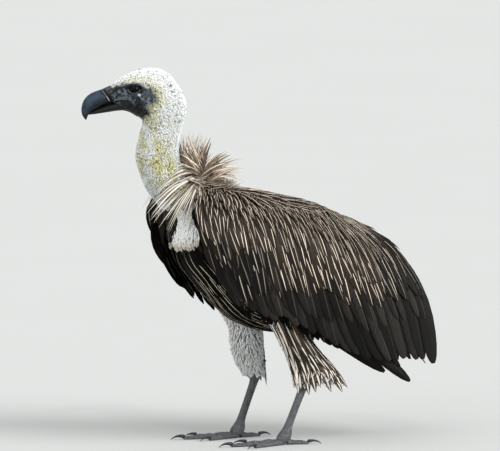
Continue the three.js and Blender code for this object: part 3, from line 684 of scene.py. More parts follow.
def tube_faces(count: int, rings: int, sides: int) -> tuple[Array, Array, Array, Array]:
    """Faces of closed tubes, each with its rings' vertices, then a pole at either end.

    Returns:
        Loops of the quads (q, 4) and of the end triangles (t, 3), then for the same loops, in
        one row, the ring and the side that each belongs to, a pole counting as half a side on.
    """
    ring, side = np.meshgrid(np.arange(rings - 1), np.arange(sides), indexing="ij")
    ring, side = ring.ravel(), side.ravel()
    rows = np.stack([ring, ring + 1, ring + 1, ring], 1)
    sides_at = np.stack([side, side, side + 1, side + 1], 1)
    quads = rows * sides + sides_at % sides
    j = np.arange(sides)
    half = j + 0.5
    last = rings - 1
    start = np.stack([np.full(sides, rings * sides), j, (j + 1) % sides], 1)
    end = np.stack([np.full(sides, rings * sides + 1), last * sides + (j + 1) % sides,
                    last * sides + j], 1)
    caps = np.concatenate([start, end])
    cap_rows = np.concatenate([np.zeros((sides, 3)), np.full((sides, 3), last)])
    cap_sides = np.concatenate([np.stack([half, j, j + 1], 1), np.stack([half, j + 1, j], 1)])
    offset = (np.arange(count) * (rings * sides + 2))[:, None, None]
    every_quad = (quads[None] + offset).reshape(-1, 4)
    every_cap = (caps[None] + offset).reshape(-1, 3)
    loop_rows = np.concatenate([np.tile(rows.ravel(), count), np.tile(cap_rows.ravel(), count)])
    loop_sides = np.concatenate([np.tile(sides_at.ravel(), count),
                                 np.tile(cap_sides.ravel(), count)])
    return every_quad, every_cap, loop_rows, loop_sides


def every_vertex(values: Array, count: int, rings: int, sides: int) -> Array:
    """One number for each tube, or for each vertex on its rings, as one for each vertex."""
    values = np.asarray(values, float)
    grid = np.broadcast_to(values if values.ndim == 3 else values.reshape(-1, 1, 1),
                           (count, rings, sides))
    return np.concatenate([grid.reshape(count, -1), grid[:, [0, -1]].mean(2)], 1).ravel()


@dataclass
class Piece:
    """Arrays of one mesh on their way into Blender."""

    name: str
    vertices: list[Array] = field(default_factory=list)
    loops: list[Array] = field(default_factory=list)
    totals: list[Array] = field(default_factory=list)
    maps: dict[str, list[Array]] = field(default_factory=dict)
    traits: dict[str, list[Array]] = field(default_factory=dict)
    roots: list[Array] = field(default_factory=list)
    count: int = 0

    def add_tubes(self, rings: Array, traits: dict[str, Array] | None = None,
                  maps: Callable[[Array, Array, Array], dict[str, Array]] | None = None) -> None:
        """Adds n closed tubes.

        Args:
            rings: (n, rings, sides, 3).
            traits: named numbers, one for each tube or for each of its ring's vertices.
            maps: gives each named map's places for the loops' tubes, rings and sides.
        """
        n, r, s = rings.shape[:3]
        poles = rings[:, [0, -1]].mean(2)
        vertices = np.concatenate([rings.reshape(n, r * s, 3), poles], 1).reshape(-1, 3)
        quads, caps, rows, sides = tube_faces(n, r, s)
        tubes = np.concatenate([np.repeat(np.arange(n), (r - 1) * s * 4),
                                np.repeat(np.arange(n), 6 * s)])
        whole = np.concatenate([quads[:, [0, 1, 2]], quads[:, [0, 2, 3]], caps])
        inside_out = volume(vertices - vertices.mean(0), whole) < 0
        if inside_out:
            quads, caps = quads[:, ::-1], caps[:, ::-1]
            cut = quads.size
            rows, sides, tubes = (np.concatenate([
                each[:cut].reshape(-1, 4)[:, ::-1].ravel(),
                each[cut:].reshape(-1, 3)[:, ::-1].ravel()]) for each in (rows, sides, tubes))
        self.vertices.append(vertices)
        self.loops += [(quads + self.count).ravel(), (caps + self.count).ravel()]
        self.totals += [np.full(len(quads), 4), np.full(len(caps), 3)]
        for name, places in (maps(tubes, rows, sides) if maps else {}).items():
            self.maps.setdefault(name, []).append(places)
        for name, values in (traits or {}).items():
            self.traits.setdefault(name, []).append(every_vertex(values, n, r, s))
        self.count += len(vertices)

    def add_plumes(self, plumes: Plumes) -> None:
        """Adds a batch of feathers, with the maps Vane, Root and Patch.

        Vane runs over each feather, across from 0 to 1 and from root to tip. Patch unrolls it
        round its middle, and Root counts the feathers: build() makes OFBake of the two.
        """
        before = sum(map(len, self.roots))
        x = (np.array(plumes.vane.section)[:, 0] + 1) / 2
        shares, sides_count = np.array(plumes.vane.shares), len(x)

        def maps(tubes: Array, rows: Array, sides: Array) -> dict[str, Array]:
            """Both maps' places of the loops."""
            whole = sides.astype(int) % sides_count
            pole = sides % 1 > 0
            across = np.where(pole, 0.5, x[whole])
            share = np.where(pole & (rows > 0), 1.0, shares[rows.astype(int)])
            return {"Vane": np.stack([across, share], 1), "Root": (tubes + before)[:, None],
                    "Patch": np.stack([sides / sides_count - 0.5, share - 0.5], 1)}

        long = np.linalg.norm(np.diff(plumes.lines, axis=1), axis=2).sum(1) / MM
        self.roots.append(plumes.roots)
        self.add_tubes(plumes.rings(), {**plumes.traits, "long": long,
                                        "broad": 2 * plumes.half}, maps)

    def bare(self, smooth_to: float = 180.0) -> bpy.types.Object:
        """Makes the object, smooth up to an angle in degrees."""
        mesh = bpy.data.meshes.new(self.name)
        vertices, loops = np.concatenate(self.vertices), np.concatenate(self.loops)
        totals = np.concatenate(self.totals)
        mesh.vertices.add(len(vertices))
        mesh.vertices.foreach_set("co", vertices.astype(np.float32).ravel())
        mesh.loops.add(len(loops))
        mesh.loops.foreach_set("vertex_index", loops.astype(np.int32))
        mesh.polygons.add(len(totals))
        mesh.polygons.foreach_set(
            "loop_start", running(totals)[:-1].astype(np.int32))
        mesh.update(calc_edges=True)
        maps = {name: np.concatenate(parts) for name, parts in self.maps.items()}
        if "Root" in maps:
            cells, size = unwrap_cells(np.concatenate(self.roots))
            patch = 0.8 * size if len(cells) < FEW_FEATHERS else TUFT_PATCH
            maps["OFBake"] = cells[maps.pop("Root")[:, 0]] + maps.pop("Patch") * patch
        for name, places in maps.items():
            layer = mesh.uv_layers.new(name=name)
            layer.uv.foreach_set("vector", places.astype(np.float32).ravel())
        for name, parts in self.traits.items():
            layer = mesh.attributes.new(name, "FLOAT", "POINT")
            layer.data.foreach_set("value", np.concatenate(parts).astype(np.float32))
        mesh.polygons.foreach_set("use_smooth", np.ones(len(totals), bool))
        if smooth_to < 180:
            mesh.set_sharp_from_angle(angle=math.radians(smooth_to))
        piece = bpy.data.objects.new(self.name, mesh)
        bpy.context.scene.collection.objects.link(piece)
        return piece

    def build(self, finish: "Finish | Finishes", slot: str, smooth_to: float = 50.0,
              replaces: tuple[str, ...] = ()) -> bpy.types.Object:
        """Makes the object, dresses it and rides it on the one body."""
        return dress(self.bare(smooth_to), finish, replaces)


def dress(piece: bpy.types.Object, finish: "Finish | Finishes",
          replaces: tuple[str, ...] = ()) -> bpy.types.Object:
    """Gives a piece its finish, rides it on the body and hides what it stands for."""
    piece.data.materials.clear()
    piece.data.materials.append(finish.material())
    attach(piece, "root")
    if replaces:
        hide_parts(*replaces)
    triangles = len(piece.data.loops) - 2 * len(piece.data.polygons)
    log.info("%s: %d triangles", piece.name, triangles)
    return piece


def closed_tube(name: str, rings: Array, traits: dict[str, Array] | None = None) -> Piece:
    """One closed tube through rings (rings, sides, 3), with traits one for each vertex."""
    piece = Piece(name)
    piece.add_tubes(rings[None], {key: np.asarray(value, float)[None] if np.ndim(value) else value
                                  for key, value in (traits or {}).items()})
    return piece


# ------------------------------------------------------------------ finishes

def linear(colour: str) -> tuple[float, float, float, float]:
    """An sRGB hex colour as linear light: c / 12.92 if dark, else ((c + 0.055) / 1.055)^2.4."""
    parts = [int(colour[i:i + 2], 16) / 255 for i in (1, 3, 5)]
    return (*(c / 12.92 if c <= 0.04045 else ((c + 0.055) / 1.055) ** 2.4 for c in parts), 1.0)


def node(tree: bpy.types.NodeTree, kind: str, settings: dict[str, object] | None = None,
         inputs: dict[int | str, object] | None = None, out: int | str = 0) -> Socket:
    """Adds a node with its settings and links.

    Args:
        tree: the material's or world's tree.
        kind: the node's type after "ShaderNode".
        settings: its properties.
        inputs: for each input, a socket to link, a hex colour or a value.
        out: which output is wanted.
    Returns:
        That output, or the input Surface of an output node.
    """
    made = tree.nodes.new("ShaderNode" + kind)
    for name, value in (settings or {}).items():
        setattr(made, name, value)
    for key, value in (inputs or {}).items():
        if isinstance(value, Socket):
            tree.links.new(value, made.inputs[key])
        else:
            size = len(made.inputs[key].default_value) if isinstance(value, str) else 0
            made.inputs[key].default_value = linear(value)[:size] if size else value
    return made.outputs[out] if made.outputs else made.inputs[0]


def empty_tree(owner: bpy.types.Material | bpy.types.World) -> bpy.types.NodeTree:
    """Makes a material or a world use nodes, and empties its tree."""
    owner.use_nodes = True
    owner.node_tree.nodes.clear()
    return owner.node_tree


MIX, SMOOTH = {"data_type": "RGBA"}, {"interpolation_type": "SMOOTHSTEP"}
TIMES, PLUS = {"operation": "MULTIPLY"}, {"operation": "ADD", "use_clamp": True}
TIMES_PLUS, SCALE = {"operation": "MULTIPLY_ADD"}, {"operation": "SCALE"}
TINT = {**MIX, "blend_type": "MULTIPLY"}
UNMARKED = dict.fromkeys(("bare", "raised", "crease", "woolly", "stain", "leg"), 0)


class Finish:
    """A look, whose shader surface() adds to the tree of its one material."""

    name: str

    def surface(self, add: Callable[..., Socket]) -> Socket:
        """Adds the nodes, with add(kind, settings, inputs, out), and returns the shader."""
        raise NotImplementedError

    @cache
    def material(self) -> bpy.types.Material:
        """The look's material, made when it is first asked for."""
        material = bpy.data.materials.new(self.name)
        tree = empty_tree(material)
        node(tree, "OutputMaterial", inputs={0: self.surface(partial(node, tree))})
        return material


@dataclass(frozen=True)
class VaneFinish(Finish):
    """Keratin of a feather's vane: matt, combed by its barbs, with a paler line by the shaft.

    The trait wide is the line's half width in mm.

    Barbs leave the shaft at about 40 degrees towards the tip and hold together in bundles.
    Single barbs, 0.3 mm apart, are too fine to show, so the bundles stand for them.
    """

    name: str
    dark: str
    light: str
    streak: str
    roughness: float = 0.6
    shine: float = 0.2
    bundle: float = 1.6  # mm between bundles of barbs
    contrast: float = 0.35
    rim: str = ""  # colour of the vane's edges, the light one where none is given; the flight feathers' near-black one is painted shade of the gaps between them
    # how far the edges take the rim colour: wear where it is light, painted shade where it is near
    # black
    edge_wear_and_shade: float = 0.22

    def surface(self, add: Callable[..., Socket]) -> Socket:
        """Builds it on the map Vane and the traits tone, streak, wide, long and broad."""
        along = add("UVMap", {"uv_map": "Vane"})
        u, v = (add("SeparateXYZ", inputs={0: along}, out=axis) for axis in (0, 1))
        tone, streak, wide, long, broad = (
            add("Attribute", {"attribute_name": name}, out="Fac")
            for name in ("tone", "streak", "wide", "long", "broad"))
        signed = add("Math", TIMES_PLUS, {0: u, 1: 2.0, 2: -1.0})
        off = add("Math", {"operation": "ABSOLUTE"}, {0: signed})
        # place along the barbs, in mm: v * long - 0.6 * |x| * broad
        reach = add("Math", TIMES, {0: off, 1: broad})
        slant = add("Math", TIMES, {0: reach, 1: -0.6})
        down = add("Math", TIMES_PLUS, {0: v, 1: long, 2: slant})
        side = add("Math", TIMES, {0: signed, 1: 0.45})
        own = add("Math", TIMES, {0: tone, 1: 57.0})
        at = add("CombineXYZ", inputs={0: down, 1: side, 2: own})
        barbs = add("TexNoise", inputs={
            "Vector": at, "Scale": 1 / self.bundle, "Detail": 2.0, "Roughness": 0.6})
        # the streak, wider towards the tip, in mm from the shaft, wavering with the barbs
        swell = add("MapRange", SMOOTH, {0: v, 1: 0.3, 2: 0.95, 3: 0.45, 4: 1.15})
        limit = add("Math", TIMES, {0: wide, 1: swell})
        half = add("Math", TIMES, {0: reach, 1: 0.5})
        waver = add("Math", TIMES_PLUS, {0: barbs, 1: 0.45, 2: half})
        past = add("Math", {"operation": "SUBTRACT"}, {0: waver, 1: limit})
        inside = add("MapRange", SMOOTH, {0: past, 1: 0.05, 2: 0.6, 3: 1.0, 4: 0.0})
        begins = add("MapRange", SMOOTH, {0: v, 1: 0.12, 2: 0.42, 3: 0.3, 4: 1.0})
        shown = add("Math", TIMES, {0: inside, 1: begins})
        mask = add("Math", {**TIMES, "use_clamp": True}, {0: shown, 1: streak})
        shade = add("Mix", MIX, {0: tone, 6: self.dark, 7: self.light}, out=2)
        grain = add("MapRange", inputs={0: barbs, 1: 0.3, 2: 0.7,
                                        3: 1 - self.contrast, 4: 1 + self.contrast})
        vane = add("VectorMath", SCALE, {0: shade, "Scale": grain})
        # edges take the rim colour: paler with wear on most vanes, near black as painted shade of
        # the gaps between flight feathers
        wear_and_painted_light = add("MapRange", SMOOTH, {0: off, 1: 0.55, 2: 1.0, 3: 0.0, 4: self.edge_wear_and_shade})
        edged = add("Mix", MIX, {0: wear_and_painted_light, 6: vane, 7: self.rim or self.light}, out=2)
        pale = add("Mix", MIX, {0: mask, 6: edged, 7: self.streak}, out=2)
        relief = add("Bump", inputs={"Strength": 0.35, "Distance": 0.0006, "Height": barbs})
        return add("BsdfPrincipled", inputs={
            "Base Color": pale, "Roughness": self.roughness, "Specular IOR Level": self.shine,
            "Normal": relief})


@dataclass(frozen=True)
class DownFinish(Finish):
    """Woolly down: dull, crimped tufts whose roots lie in shade, so that it looks curdled."""

    name: str
    shade: str
    pale: str
    stain: str
    roughness: float = 0.9

    def surface(self, add: Callable[..., Socket]) -> Socket:
        """Builds it on the map Vane and the traits tone and stain."""
        along = add("UVMap", {"uv_map": "Vane"})
        v = add("SeparateXYZ", inputs={0: along}, out=1)
        tone, stain = (add("Attribute", {"attribute_name": name}, out="Fac")
                       for name in ("tone", "stain"))
        lit = add("MapRange", SMOOTH, {0: v, 1: 0.0, 2: 0.5, 3: 0.7, 4: 1.0})
        full = add("Math", TIMES, {0: lit, 1: tone})
        wool = add("Mix", MIX, {0: full, 6: self.shade, 7: self.pale}, out=2)
        tinted = add("Mix", TINT, {0: stain, 6: wool, 7: self.stain}, out=2)
        return add("BsdfPrincipled", inputs={
            "Base Color": tinted, "Roughness": self.roughness, "Specular IOR Level": 0.2,
            "Sheen Weight": 0.1, "Sheen Roughness": 0.6})


@dataclass(frozen=True)
class SkinFinish(Finish):
    """Skin of the whole bird: slate and wrinkled on the bare face, scaly grey on the legs, and
    coloured as the coat is where down or feathers grow from it."""

    name: str = "vulture_skin"
    face: str = "#0c0e11"
    # painted highlight of raised skin: lids, gape, folds, wrinkles and brow
    fold: str = "#78838c"
    woolly: str = "#d2cfc2"
    stain: str = "#c2bb74"
    brown: str = "#2a231e"
    leg: str = "#54565a"
    # painted shade in creases, slits and furrows
    crease: str = "#040506"

    def surface(self, add: Callable[..., Socket]) -> Socket:
        """Builds it on the traits bare, raised, crease, woolly, stain and leg; raised paints
        highlight and crease paints shade.
        """
        at = add("TexCoord", out="Object")
        bare, raised, crease, woolly, stain, leg = (
            add("Attribute", {"attribute_name": name}, out="Fac")
            for name in UNMARKED)
        # wrinkles of the face 2 to 3 mm apart, pores finer than 1 mm
        creases = add("TexNoise", inputs={
            "Vector": at, "Scale": 330.0, "Detail": 5.0, "Roughness": 0.7})
        pores = add("TexVoronoi", {"feature": "F1"}, {"Vector": at, "Scale": 1100.0})
        coat = add("Mix", MIX, {0: woolly, 6: self.brown, 7: self.woolly}, out=2)
        stained = add("Mix", TINT, {0: stain, 6: coat, 7: self.stain}, out=2)
        # painted highlight: the wrinkles' ridges lighter, and more where raised
        mottle = add("MapRange", inputs={0: creases, 1: 0.47, 2: 0.7, 3: 0.0, 4: 0.44})
        lit = add("Math", PLUS, {0: mottle, 1: raised})
        face = add("Mix", MIX, {0: lit, 6: self.face, 7: self.fold}, out=2)
        headed = add("Mix", MIX, {0: bare, 6: stained, 7: face}, out=2)
        legged = add("Mix", MIX, {0: leg, 6: headed, 7: self.leg}, out=2)
        # painted shade in the creases
        whole = add("Mix", MIX, {0: crease, 6: legged, 7: self.crease}, out=2)
        rough = add("Math", TIMES_PLUS, {0: pores, 1: 0.35, 2: creases})
        relief = add("Bump", inputs={"Strength": 0.6, "Distance": 0.0008, "Height": rough})
        return add("BsdfPrincipled", inputs={
            "Base Color": whole, "Roughness": 0.58, "Specular IOR Level": 0.2,
            "Normal": relief})


@dataclass(frozen=True)
class HornFinish(Finish):
    """Horn of bill and claws: smooth, bluish black, faintly layered and scuffed paler, lighter at
    its rims as painted highlight.
    """

    name: str
    dark: str
    light: str
    scuff_and_highlight: str
    roughness: float = 0.33
    layer: float = 900.0  # growth layers near 1 mm

    def surface(self, add: Callable[..., Socket]) -> Socket:
        """Builds it on Object coordinates and the trait raised, which lightens above nought and
        darkens below it: painted highlight at rims and tips, painted shade on the bill's lower
        side.
        """
        at = add("TexCoord", out="Object")
        raised = add("Attribute", {"attribute_name": "raised"}, out="Fac")
        clouds = add("TexNoise", inputs={"Vector": at, "Scale": 120.0, "Detail": 3.0})
        stretched = add("Mapping", inputs={"Vector": at, "Scale": (0.25, 1.0, 0.5)})
        layers = add("TexNoise", inputs={
            "Vector": stretched, "Scale": self.layer, "Detail": 3.0, "Roughness": 0.55})
        base = add("MapRange", inputs={0: clouds, 1: 0.35, 2: 0.7, 3: 0.35, 4: 0.85})
        # raised: painted highlight above nought, darker below it, in the colour and in the scuffs'
        # share
        base = add("Math", PLUS, {0: base, 1: raised})
        horn = add("Mix", MIX, {0: base, 6: self.dark, 7: self.light}, out=2)
        scuffs = add("MapRange", SMOOTH, {0: layers, 1: 0.56, 2: 0.74, 3: 0.0, 4: 0.4})
        wear_and_painted_light = add("Math", PLUS, {0: scuffs, 1: raised})
        whole = add("Mix", MIX, {0: wear_and_painted_light, 6: horn, 7: self.scuff_and_highlight}, out=2)
        gloss = add("MapRange", inputs={
            0: layers, 1: 0.3, 2: 0.7, 3: self.roughness - 0.06, 4: self.roughness + 0.14})
        relief = add("Bump", inputs={"Strength": 0.25, "Distance": 0.0004, "Height": layers})
        return add("BsdfPrincipled", inputs={
            "Base Color": whole, "Roughness": gloss, "Specular IOR Level": 0.3,
            "Normal": relief})


@dataclass(frozen=True)
class ScaleFinish(Finish):
    """Horny scales of the legs: dull grey plates, paler and dusty on their faces."""

    name: str = "leg_scales"
    dark: str = "#323438"
    light: str = "#5c5d5f"

    def surface(self, add: Callable[..., Socket]) -> Socket:
        """Builds it on Object coordinates and the trait tone."""
        at = add("TexCoord", out="Object")
        tone = add("Attribute", {"attribute_name": "tone"}, out="Fac")
        dust = add("TexNoise", inputs={"Vector": at, "Scale": 500.0, "Detail": 4.0})
        mixed = add("Math", TIMES_PLUS, {0: tone, 1: 0.5, 2: dust})
        share = add("MapRange", inputs={0: mixed, 1: 0.4, 2: 1.1, 3: 0.0, 4: 1.0})
        plate = add("Mix", MIX, {0: share, 6: self.dark, 7: self.light}, out=2)
        relief = add("Bump", inputs={"Strength": 0.4, "Distance": 0.0004, "Height": dust})
        return add("BsdfPrincipled", inputs={
            "Base Color": plate, "Roughness": 0.62, "Normal": relief})


@dataclass(frozen=True)
class EyeFinish(Finish):
    """Wet eye: black pupil, dark brown iris with a darker rim, under a clear cornea."""

    name: str = "eye_wet"
    pupil: str = "#040404"
    iris: str = "#0a0605"
    rim: str = "#030202"
    pupil_turn: float = 0.34  # radians from the eye's axis
    iris_turn: float = 0.72

    def surface(self, add: Callable[..., Socket]) -> Socket:
        """Builds it on the trait turn, the angle from the eye's axis."""
        turn = add("Attribute", {"attribute_name": "turn"}, out="Fac")
        at = add("TexCoord", out="Object")
        fibres = add("TexNoise", inputs={"Vector": at, "Scale": 1400.0, "Detail": 2.0})
        open_at = add("MapRange", SMOOTH, {0: turn, 1: self.pupil_turn, 2: self.pupil_turn + 0.06})
        shut_at = add("MapRange", SMOOTH, {0: turn, 1: self.iris_turn - 0.12, 2: self.iris_turn})
        streaks = add("MapRange", inputs={0: fibres, 1: 0.3, 2: 0.7, 3: 0.7, 4: 1.3})
        iris = add("VectorMath", SCALE, {0: self.iris, "Scale": streaks})
        inner = add("Mix", MIX, {0: open_at, 6: self.pupil, 7: iris}, out=2)
        whole = add("Mix", MIX, {0: shut_at, 6: inner, 7: self.rim}, out=2)
        return add("BsdfPrincipled", inputs={
            "Base Color": whole, "Roughness": 0.05, "IOR": 1.34, "Specular IOR Level": 0.12})


@dataclass(frozen=True)
class FloorFinish(Finish):
    """Matt pale floor, very slightly mottled."""

    name: str = "matt_floor"
    tint: str = "#bbbcbb"

    def surface(self, add: Callable[..., Socket]) -> Socket:
        """Builds it on Object coordinates."""
        at = add("TexCoord", out="Object")
        mottle = add("TexNoise", inputs={"Vector": at, "Scale": 3.0, "Detail": 2.0})
        shade = add("MapRange", inputs={0: mottle, 3: 0.985, 4: 1.015})
        tint = add("VectorMath", SCALE, {0: self.tint, "Scale": shade})
        return add("BsdfPrincipled", inputs={
            "Base Color": tint, "Roughness": 0.8, "Specular IOR Level": 0.2})


# ------------------------------------------------------------------ markings of skin and coat

def face_share(places: Array) -> Array:
    """Share of bare face at places, from 0 to 1 across a ragged edge."""
    own = head_plane(places)
    ragged = 1.8 * ripple(places / MM, 9.0, 3) + 2.0 * ripple(places / MM, 3.5, 4)
    return step(-2.6, 3.0, within(own[:, [0, 2]], BARE_FACE) + ragged)


def coat_depth(lie: Array, places: Array) -> Array:
    """Depth of the coat over the skin in mm, hardly any on the bare face."""
    return np.interp(lie, COAT_AT, COAT_DEPTH) * (1 - face_share(places)) + BARE_DEPTH


def crop_share(lie: Array, across: Array) -> Array:
    """Share of white crop down: a bib that hangs lower in front than at its sides."""
    turn = np.degrees(across % TAU)
    above = lie - np.interp(turn, BIB_TURN, BIB_TOP)
    aside = 180 - np.abs(turn - 180)
    below = 17.15 - 0.3 * step(150, 115, aside) - lie
    return step(-0.1, 0.1, np.minimum(above, below)) * step(98, 106, aside)


def stain_share(lie: Array, across: Array, places: Array) -> Array:
    """Share of olive-yellow stain: behind the face, down the front of the neck, at the ruff."""
    turn = np.abs((across + math.pi) % TAU - math.pi)
    mottled = ripple(places / MM, 26.0, 8) + 0.8 * ripple(places / MM, 7.0, 9)
    blotch = step(-0.3, 0.9, mottled)
    front = step(math.radians(68), math.radians(125), turn)
    run = front * step(6.0, 9.0, lie) * step(14.6, 12.6, lie) * blotch
    patch = bell(np.hypot((lie - 13.1) * 9, (turn - math.radians(84)) * 26), 11.0)
    own = head_plane(places)
    ring = bell(within(own[:, [0, 2]], BARE_FACE) + 4.0, 5.5) * step(262, 240, own[:, 0])
    ring = ring * (0.65 - 0.35 * step(555, 566, own[:, 2]))
    return np.clip(0.85 * run + 1.2 * patch * step(-1.2, 0.2, mottled) + ring, 0, 1)


def lid_oval(ahead: Array, up: Array) -> Array:
    """Size of the oval about the lids' opening on which places of the head's plane lie."""
    gap = np.stack([ahead, up], -1) - LID_MIDDLE
    return np.hypot(gap[..., 0] / LID_HALF,
                    gap[..., 1] / np.where(gap[..., 1] > 0, LID_ABOVE, LID_BELOW))


# ------------------------------------------------------------------ skin

@dataclass
class Skin:
    """One skin of head, neck, trunk, thighs, shanks and feet, under the coat."""

    head_rings: int = 250
    neck_rings: int = 50
    trunk_rings: int = 96
    sides: int = 176
    eye_lie: float = 2.15
    eye_across: float = math.radians(64)
    finish: SkinFinish = SkinFinish()

    def build(self) -> bpy.types.Object:
        """Lofts the body and joins thighs and legs to it."""
        skin = self.body().bare()
        for part in (*self.thighs(), *(part for side in LEG_ENDS for part in Leg(side).flesh())):
            self.join(skin, part.bare())
        skin.data.polygons.foreach_set("use_smooth", np.ones(len(skin.data.polygons), bool))
        return dress(skin, self.finish, (
            "head", "neck_upper", "neck_lower", "trunk", "rump", "thigh_left", "thigh_right",
            "tarsus_left", "tarsus_right", "foot_left", "foot_right"))

    def body(self) -> Piece:
        """Head to rump: the body's surface less the coat's depth, then the face's own forms.

        Rings and sides crowd round the eyes: their density is 1 + a bell about the eye.
        """
        head, turn = np.linspace(0, HEAD_END, 2000), np.linspace(-math.pi, math.pi, 4000)
        rings = np.concatenate([
            crowded(head, 1 + 2.2 * bell(head - self.eye_lie, 0.55), self.head_rings),
            np.linspace(HEAD_END, NECK_END, self.neck_rings + 1)[1:],
            np.linspace(NECK_END, LAST_STATION, self.trunk_rings + 1)[1:]])
        across = crowded(turn, 1 + 1.6 * bell(np.abs(turn) - self.eye_across, 0.32),
                         self.sides + 1)[:-1]
        shape = (len(rings), self.sides)
        lie, across = (a.ravel() for a in np.meshgrid(rings, across, indexing="ij"))
        surface = BODY.base(lie, across)
        places = BODY.point(lie, across, -coat_depth(lie, surface))
        return closed_tube("skin", self.face(places).reshape(*shape, 3), {
            name: values.reshape(shape)
            for name, values in self.marks(lie, across, surface).items()})

    def marks(self, lie: Array, across: Array, surface: Array) -> dict[str, Array]:
        """Traits of the skin's finish at places of the coat's surface.

        On the face, raised paints highlight on the lids, the gape, folds, wrinkles and brow, and
        lightens the fleck; crease paints shade in the gape's slit, the brow's shade, the lids'
        shade, the throat and furrows.
        """
        ahead, side, up = head_plane(surface).T
        head = step(8.5, 7.5, lie)
        oval = lid_oval(ahead, up)
        at = np.stack([ahead, up], 1)
        flank = head * step(8, 14, np.abs(side))
        below = step(1.0, -2.0, up - LID_MIDDLE[1])
        gape = off_line(at, GAPE_LINE)
        brow = bell(within(at, BARE_FACE) - 2.4, 1.7) * step(556, 560, up) * step(
            208, 216, ahead) * step(268, 258, ahead)
        # painted highlight on raised skin
        raised = flank * (
            1.2 * below * bell(oval - 1.15, 0.07)
            + 0.55 * bell(off_line(at, GAPE_LINE + [0, 2.4]), 0.8)
            + 0.45 * sum(bell(off_line(at, fold), 0.9) for fold in CHEEK_FOLDS)
            + 0.4 * step(0.2, 0.9, ripple(surface / MM, 7.0, 7)) * step(1.4, 1.9, oval)
            + 0.7 * brow + 0.14 * step(230, 214, ahead)
            + bell(off_line(at, FLECK), 1.2))
        # painted shade: the gape's slit, under the brow, round the lids, the throat and furrows
        crease = flank * np.clip(
            bell(gape, 0.8) + 0.9 * bell(off_line(at, BROW_SHADE), 2.2)
            + (1 - 0.6 * below) * bell(np.maximum(oval - 1.25, 0), 0.25)
            + 0.85 * bell(off_line(at, THROAT_LINE), 7.0)
            + 0.5 * step(-0.1, 0.7, ripple(surface / MM, 9.0, 17)), 0, 1)
        fleck = 1 - 0.95 * bell(off_line(at, FLECK), 0.9)
        return {
            "bare": face_share(surface) * head * fleck, "raised": raised,
            "crease": crease * face_share(surface) * fleck * (1 - 0.85 * np.clip(brow, 0, 1)),
            "woolly": np.maximum(step(15.45, 14.9, lie), crop_share(lie, across)),
            "stain": stain_share(lie, across, surface), "leg": np.zeros(len(lie))}

    def face(self, places: Array) -> Array:
        """Sockets, lids, brows, gape and folds, as moves to the side in the head's own plane.

        A lid's opening is an oval; inside it the skin drops behind the eyeball, at its rim it
        rests 0.3 mm off the ball, and within twice its size it blends back to the cheek.
        """
        ahead, side, up = head_plane(places).T
        at, sign, out = np.stack([ahead, up], 1), np.sign(side), np.abs(side)
        oval = lid_oval(ahead, up)
        radius = np.hypot(ahead - EYE_AHEAD, up - EYE_UP)
        ball = EYE_SIDE + np.sqrt(np.maximum(EYE_RADIUS ** 2 - radius ** 2, 9.0)) + 0.3
        flank = out > 8
        out = np.where(flank, ball + (out - ball) * step(1.0, 2.0, oval), out)
        out = out + flank * (0.9 * bell(oval - 1.1, 0.085) - 0.7 * bell(oval - 1.42, 0.1)
                             - 6.0 * step(1.02, 0.9, oval))
        cheek = step(8, 14, out)
        gape = off_line(at, GAPE_LINE)
        out = out + cheek * (
            2.2 * bell(off_line(at, BROW_LINE), 2.4) * step(1.0, 1.3, oval)
            - 0.9 * bell(off_line(at, BROW_SHADE), 1.8) * step(1.3, 1.6, oval)
            - 1.4 * bell(gape, 0.8) + 0.5 * bell(gape - 2, 1)
            + 0.5 * sum(bell(off_line(at, fold), 1.0) for fold in CHEEK_FOLDS))
        wrinkles = face_share(places) * step(1.3, 1.9, oval) * cheek
        out = out + wrinkles * (0.45 * ripple(places / MM, 5.5, 5)
                                + 0.3 * ripple(places / MM, 2.8, 6))
        return np.where((up > 480)[:, None], head_place(ahead, sign * out, up), places)

    def thighs(self) -> list[Piece]:
        """The thighs' surfaces less their coat."""
        parts = []
        for surface in THIGHS.values():
            lie, across = ring_grid(*surface.lie_span, 40, 48)
            depth = -np.interp(lie, [0, 3, 5], [8.0, 7.0, 4.5])
            parts.append(closed_tube("thigh", surface.point(lie, across, depth),
                                     {**UNMARKED, "woolly": 0.8}))
        return parts

    def join(self, skin: bpy.types.Object, tool: bpy.types.Object) -> None:
        """Fuses a closed part with the skin."""
        fuse = skin.modifiers.new("fuse", "BOOLEAN")
        fuse.operation, fuse.solver, fuse.object = "UNION", "MANIFOLD", tool
        with bpy.context.temp_override(object=skin):
            bpy.ops.object.modifier_apply(modifier=fuse.name)
        bpy.data.objects.remove(tool)


# ------------------------------------------------------------------ legs

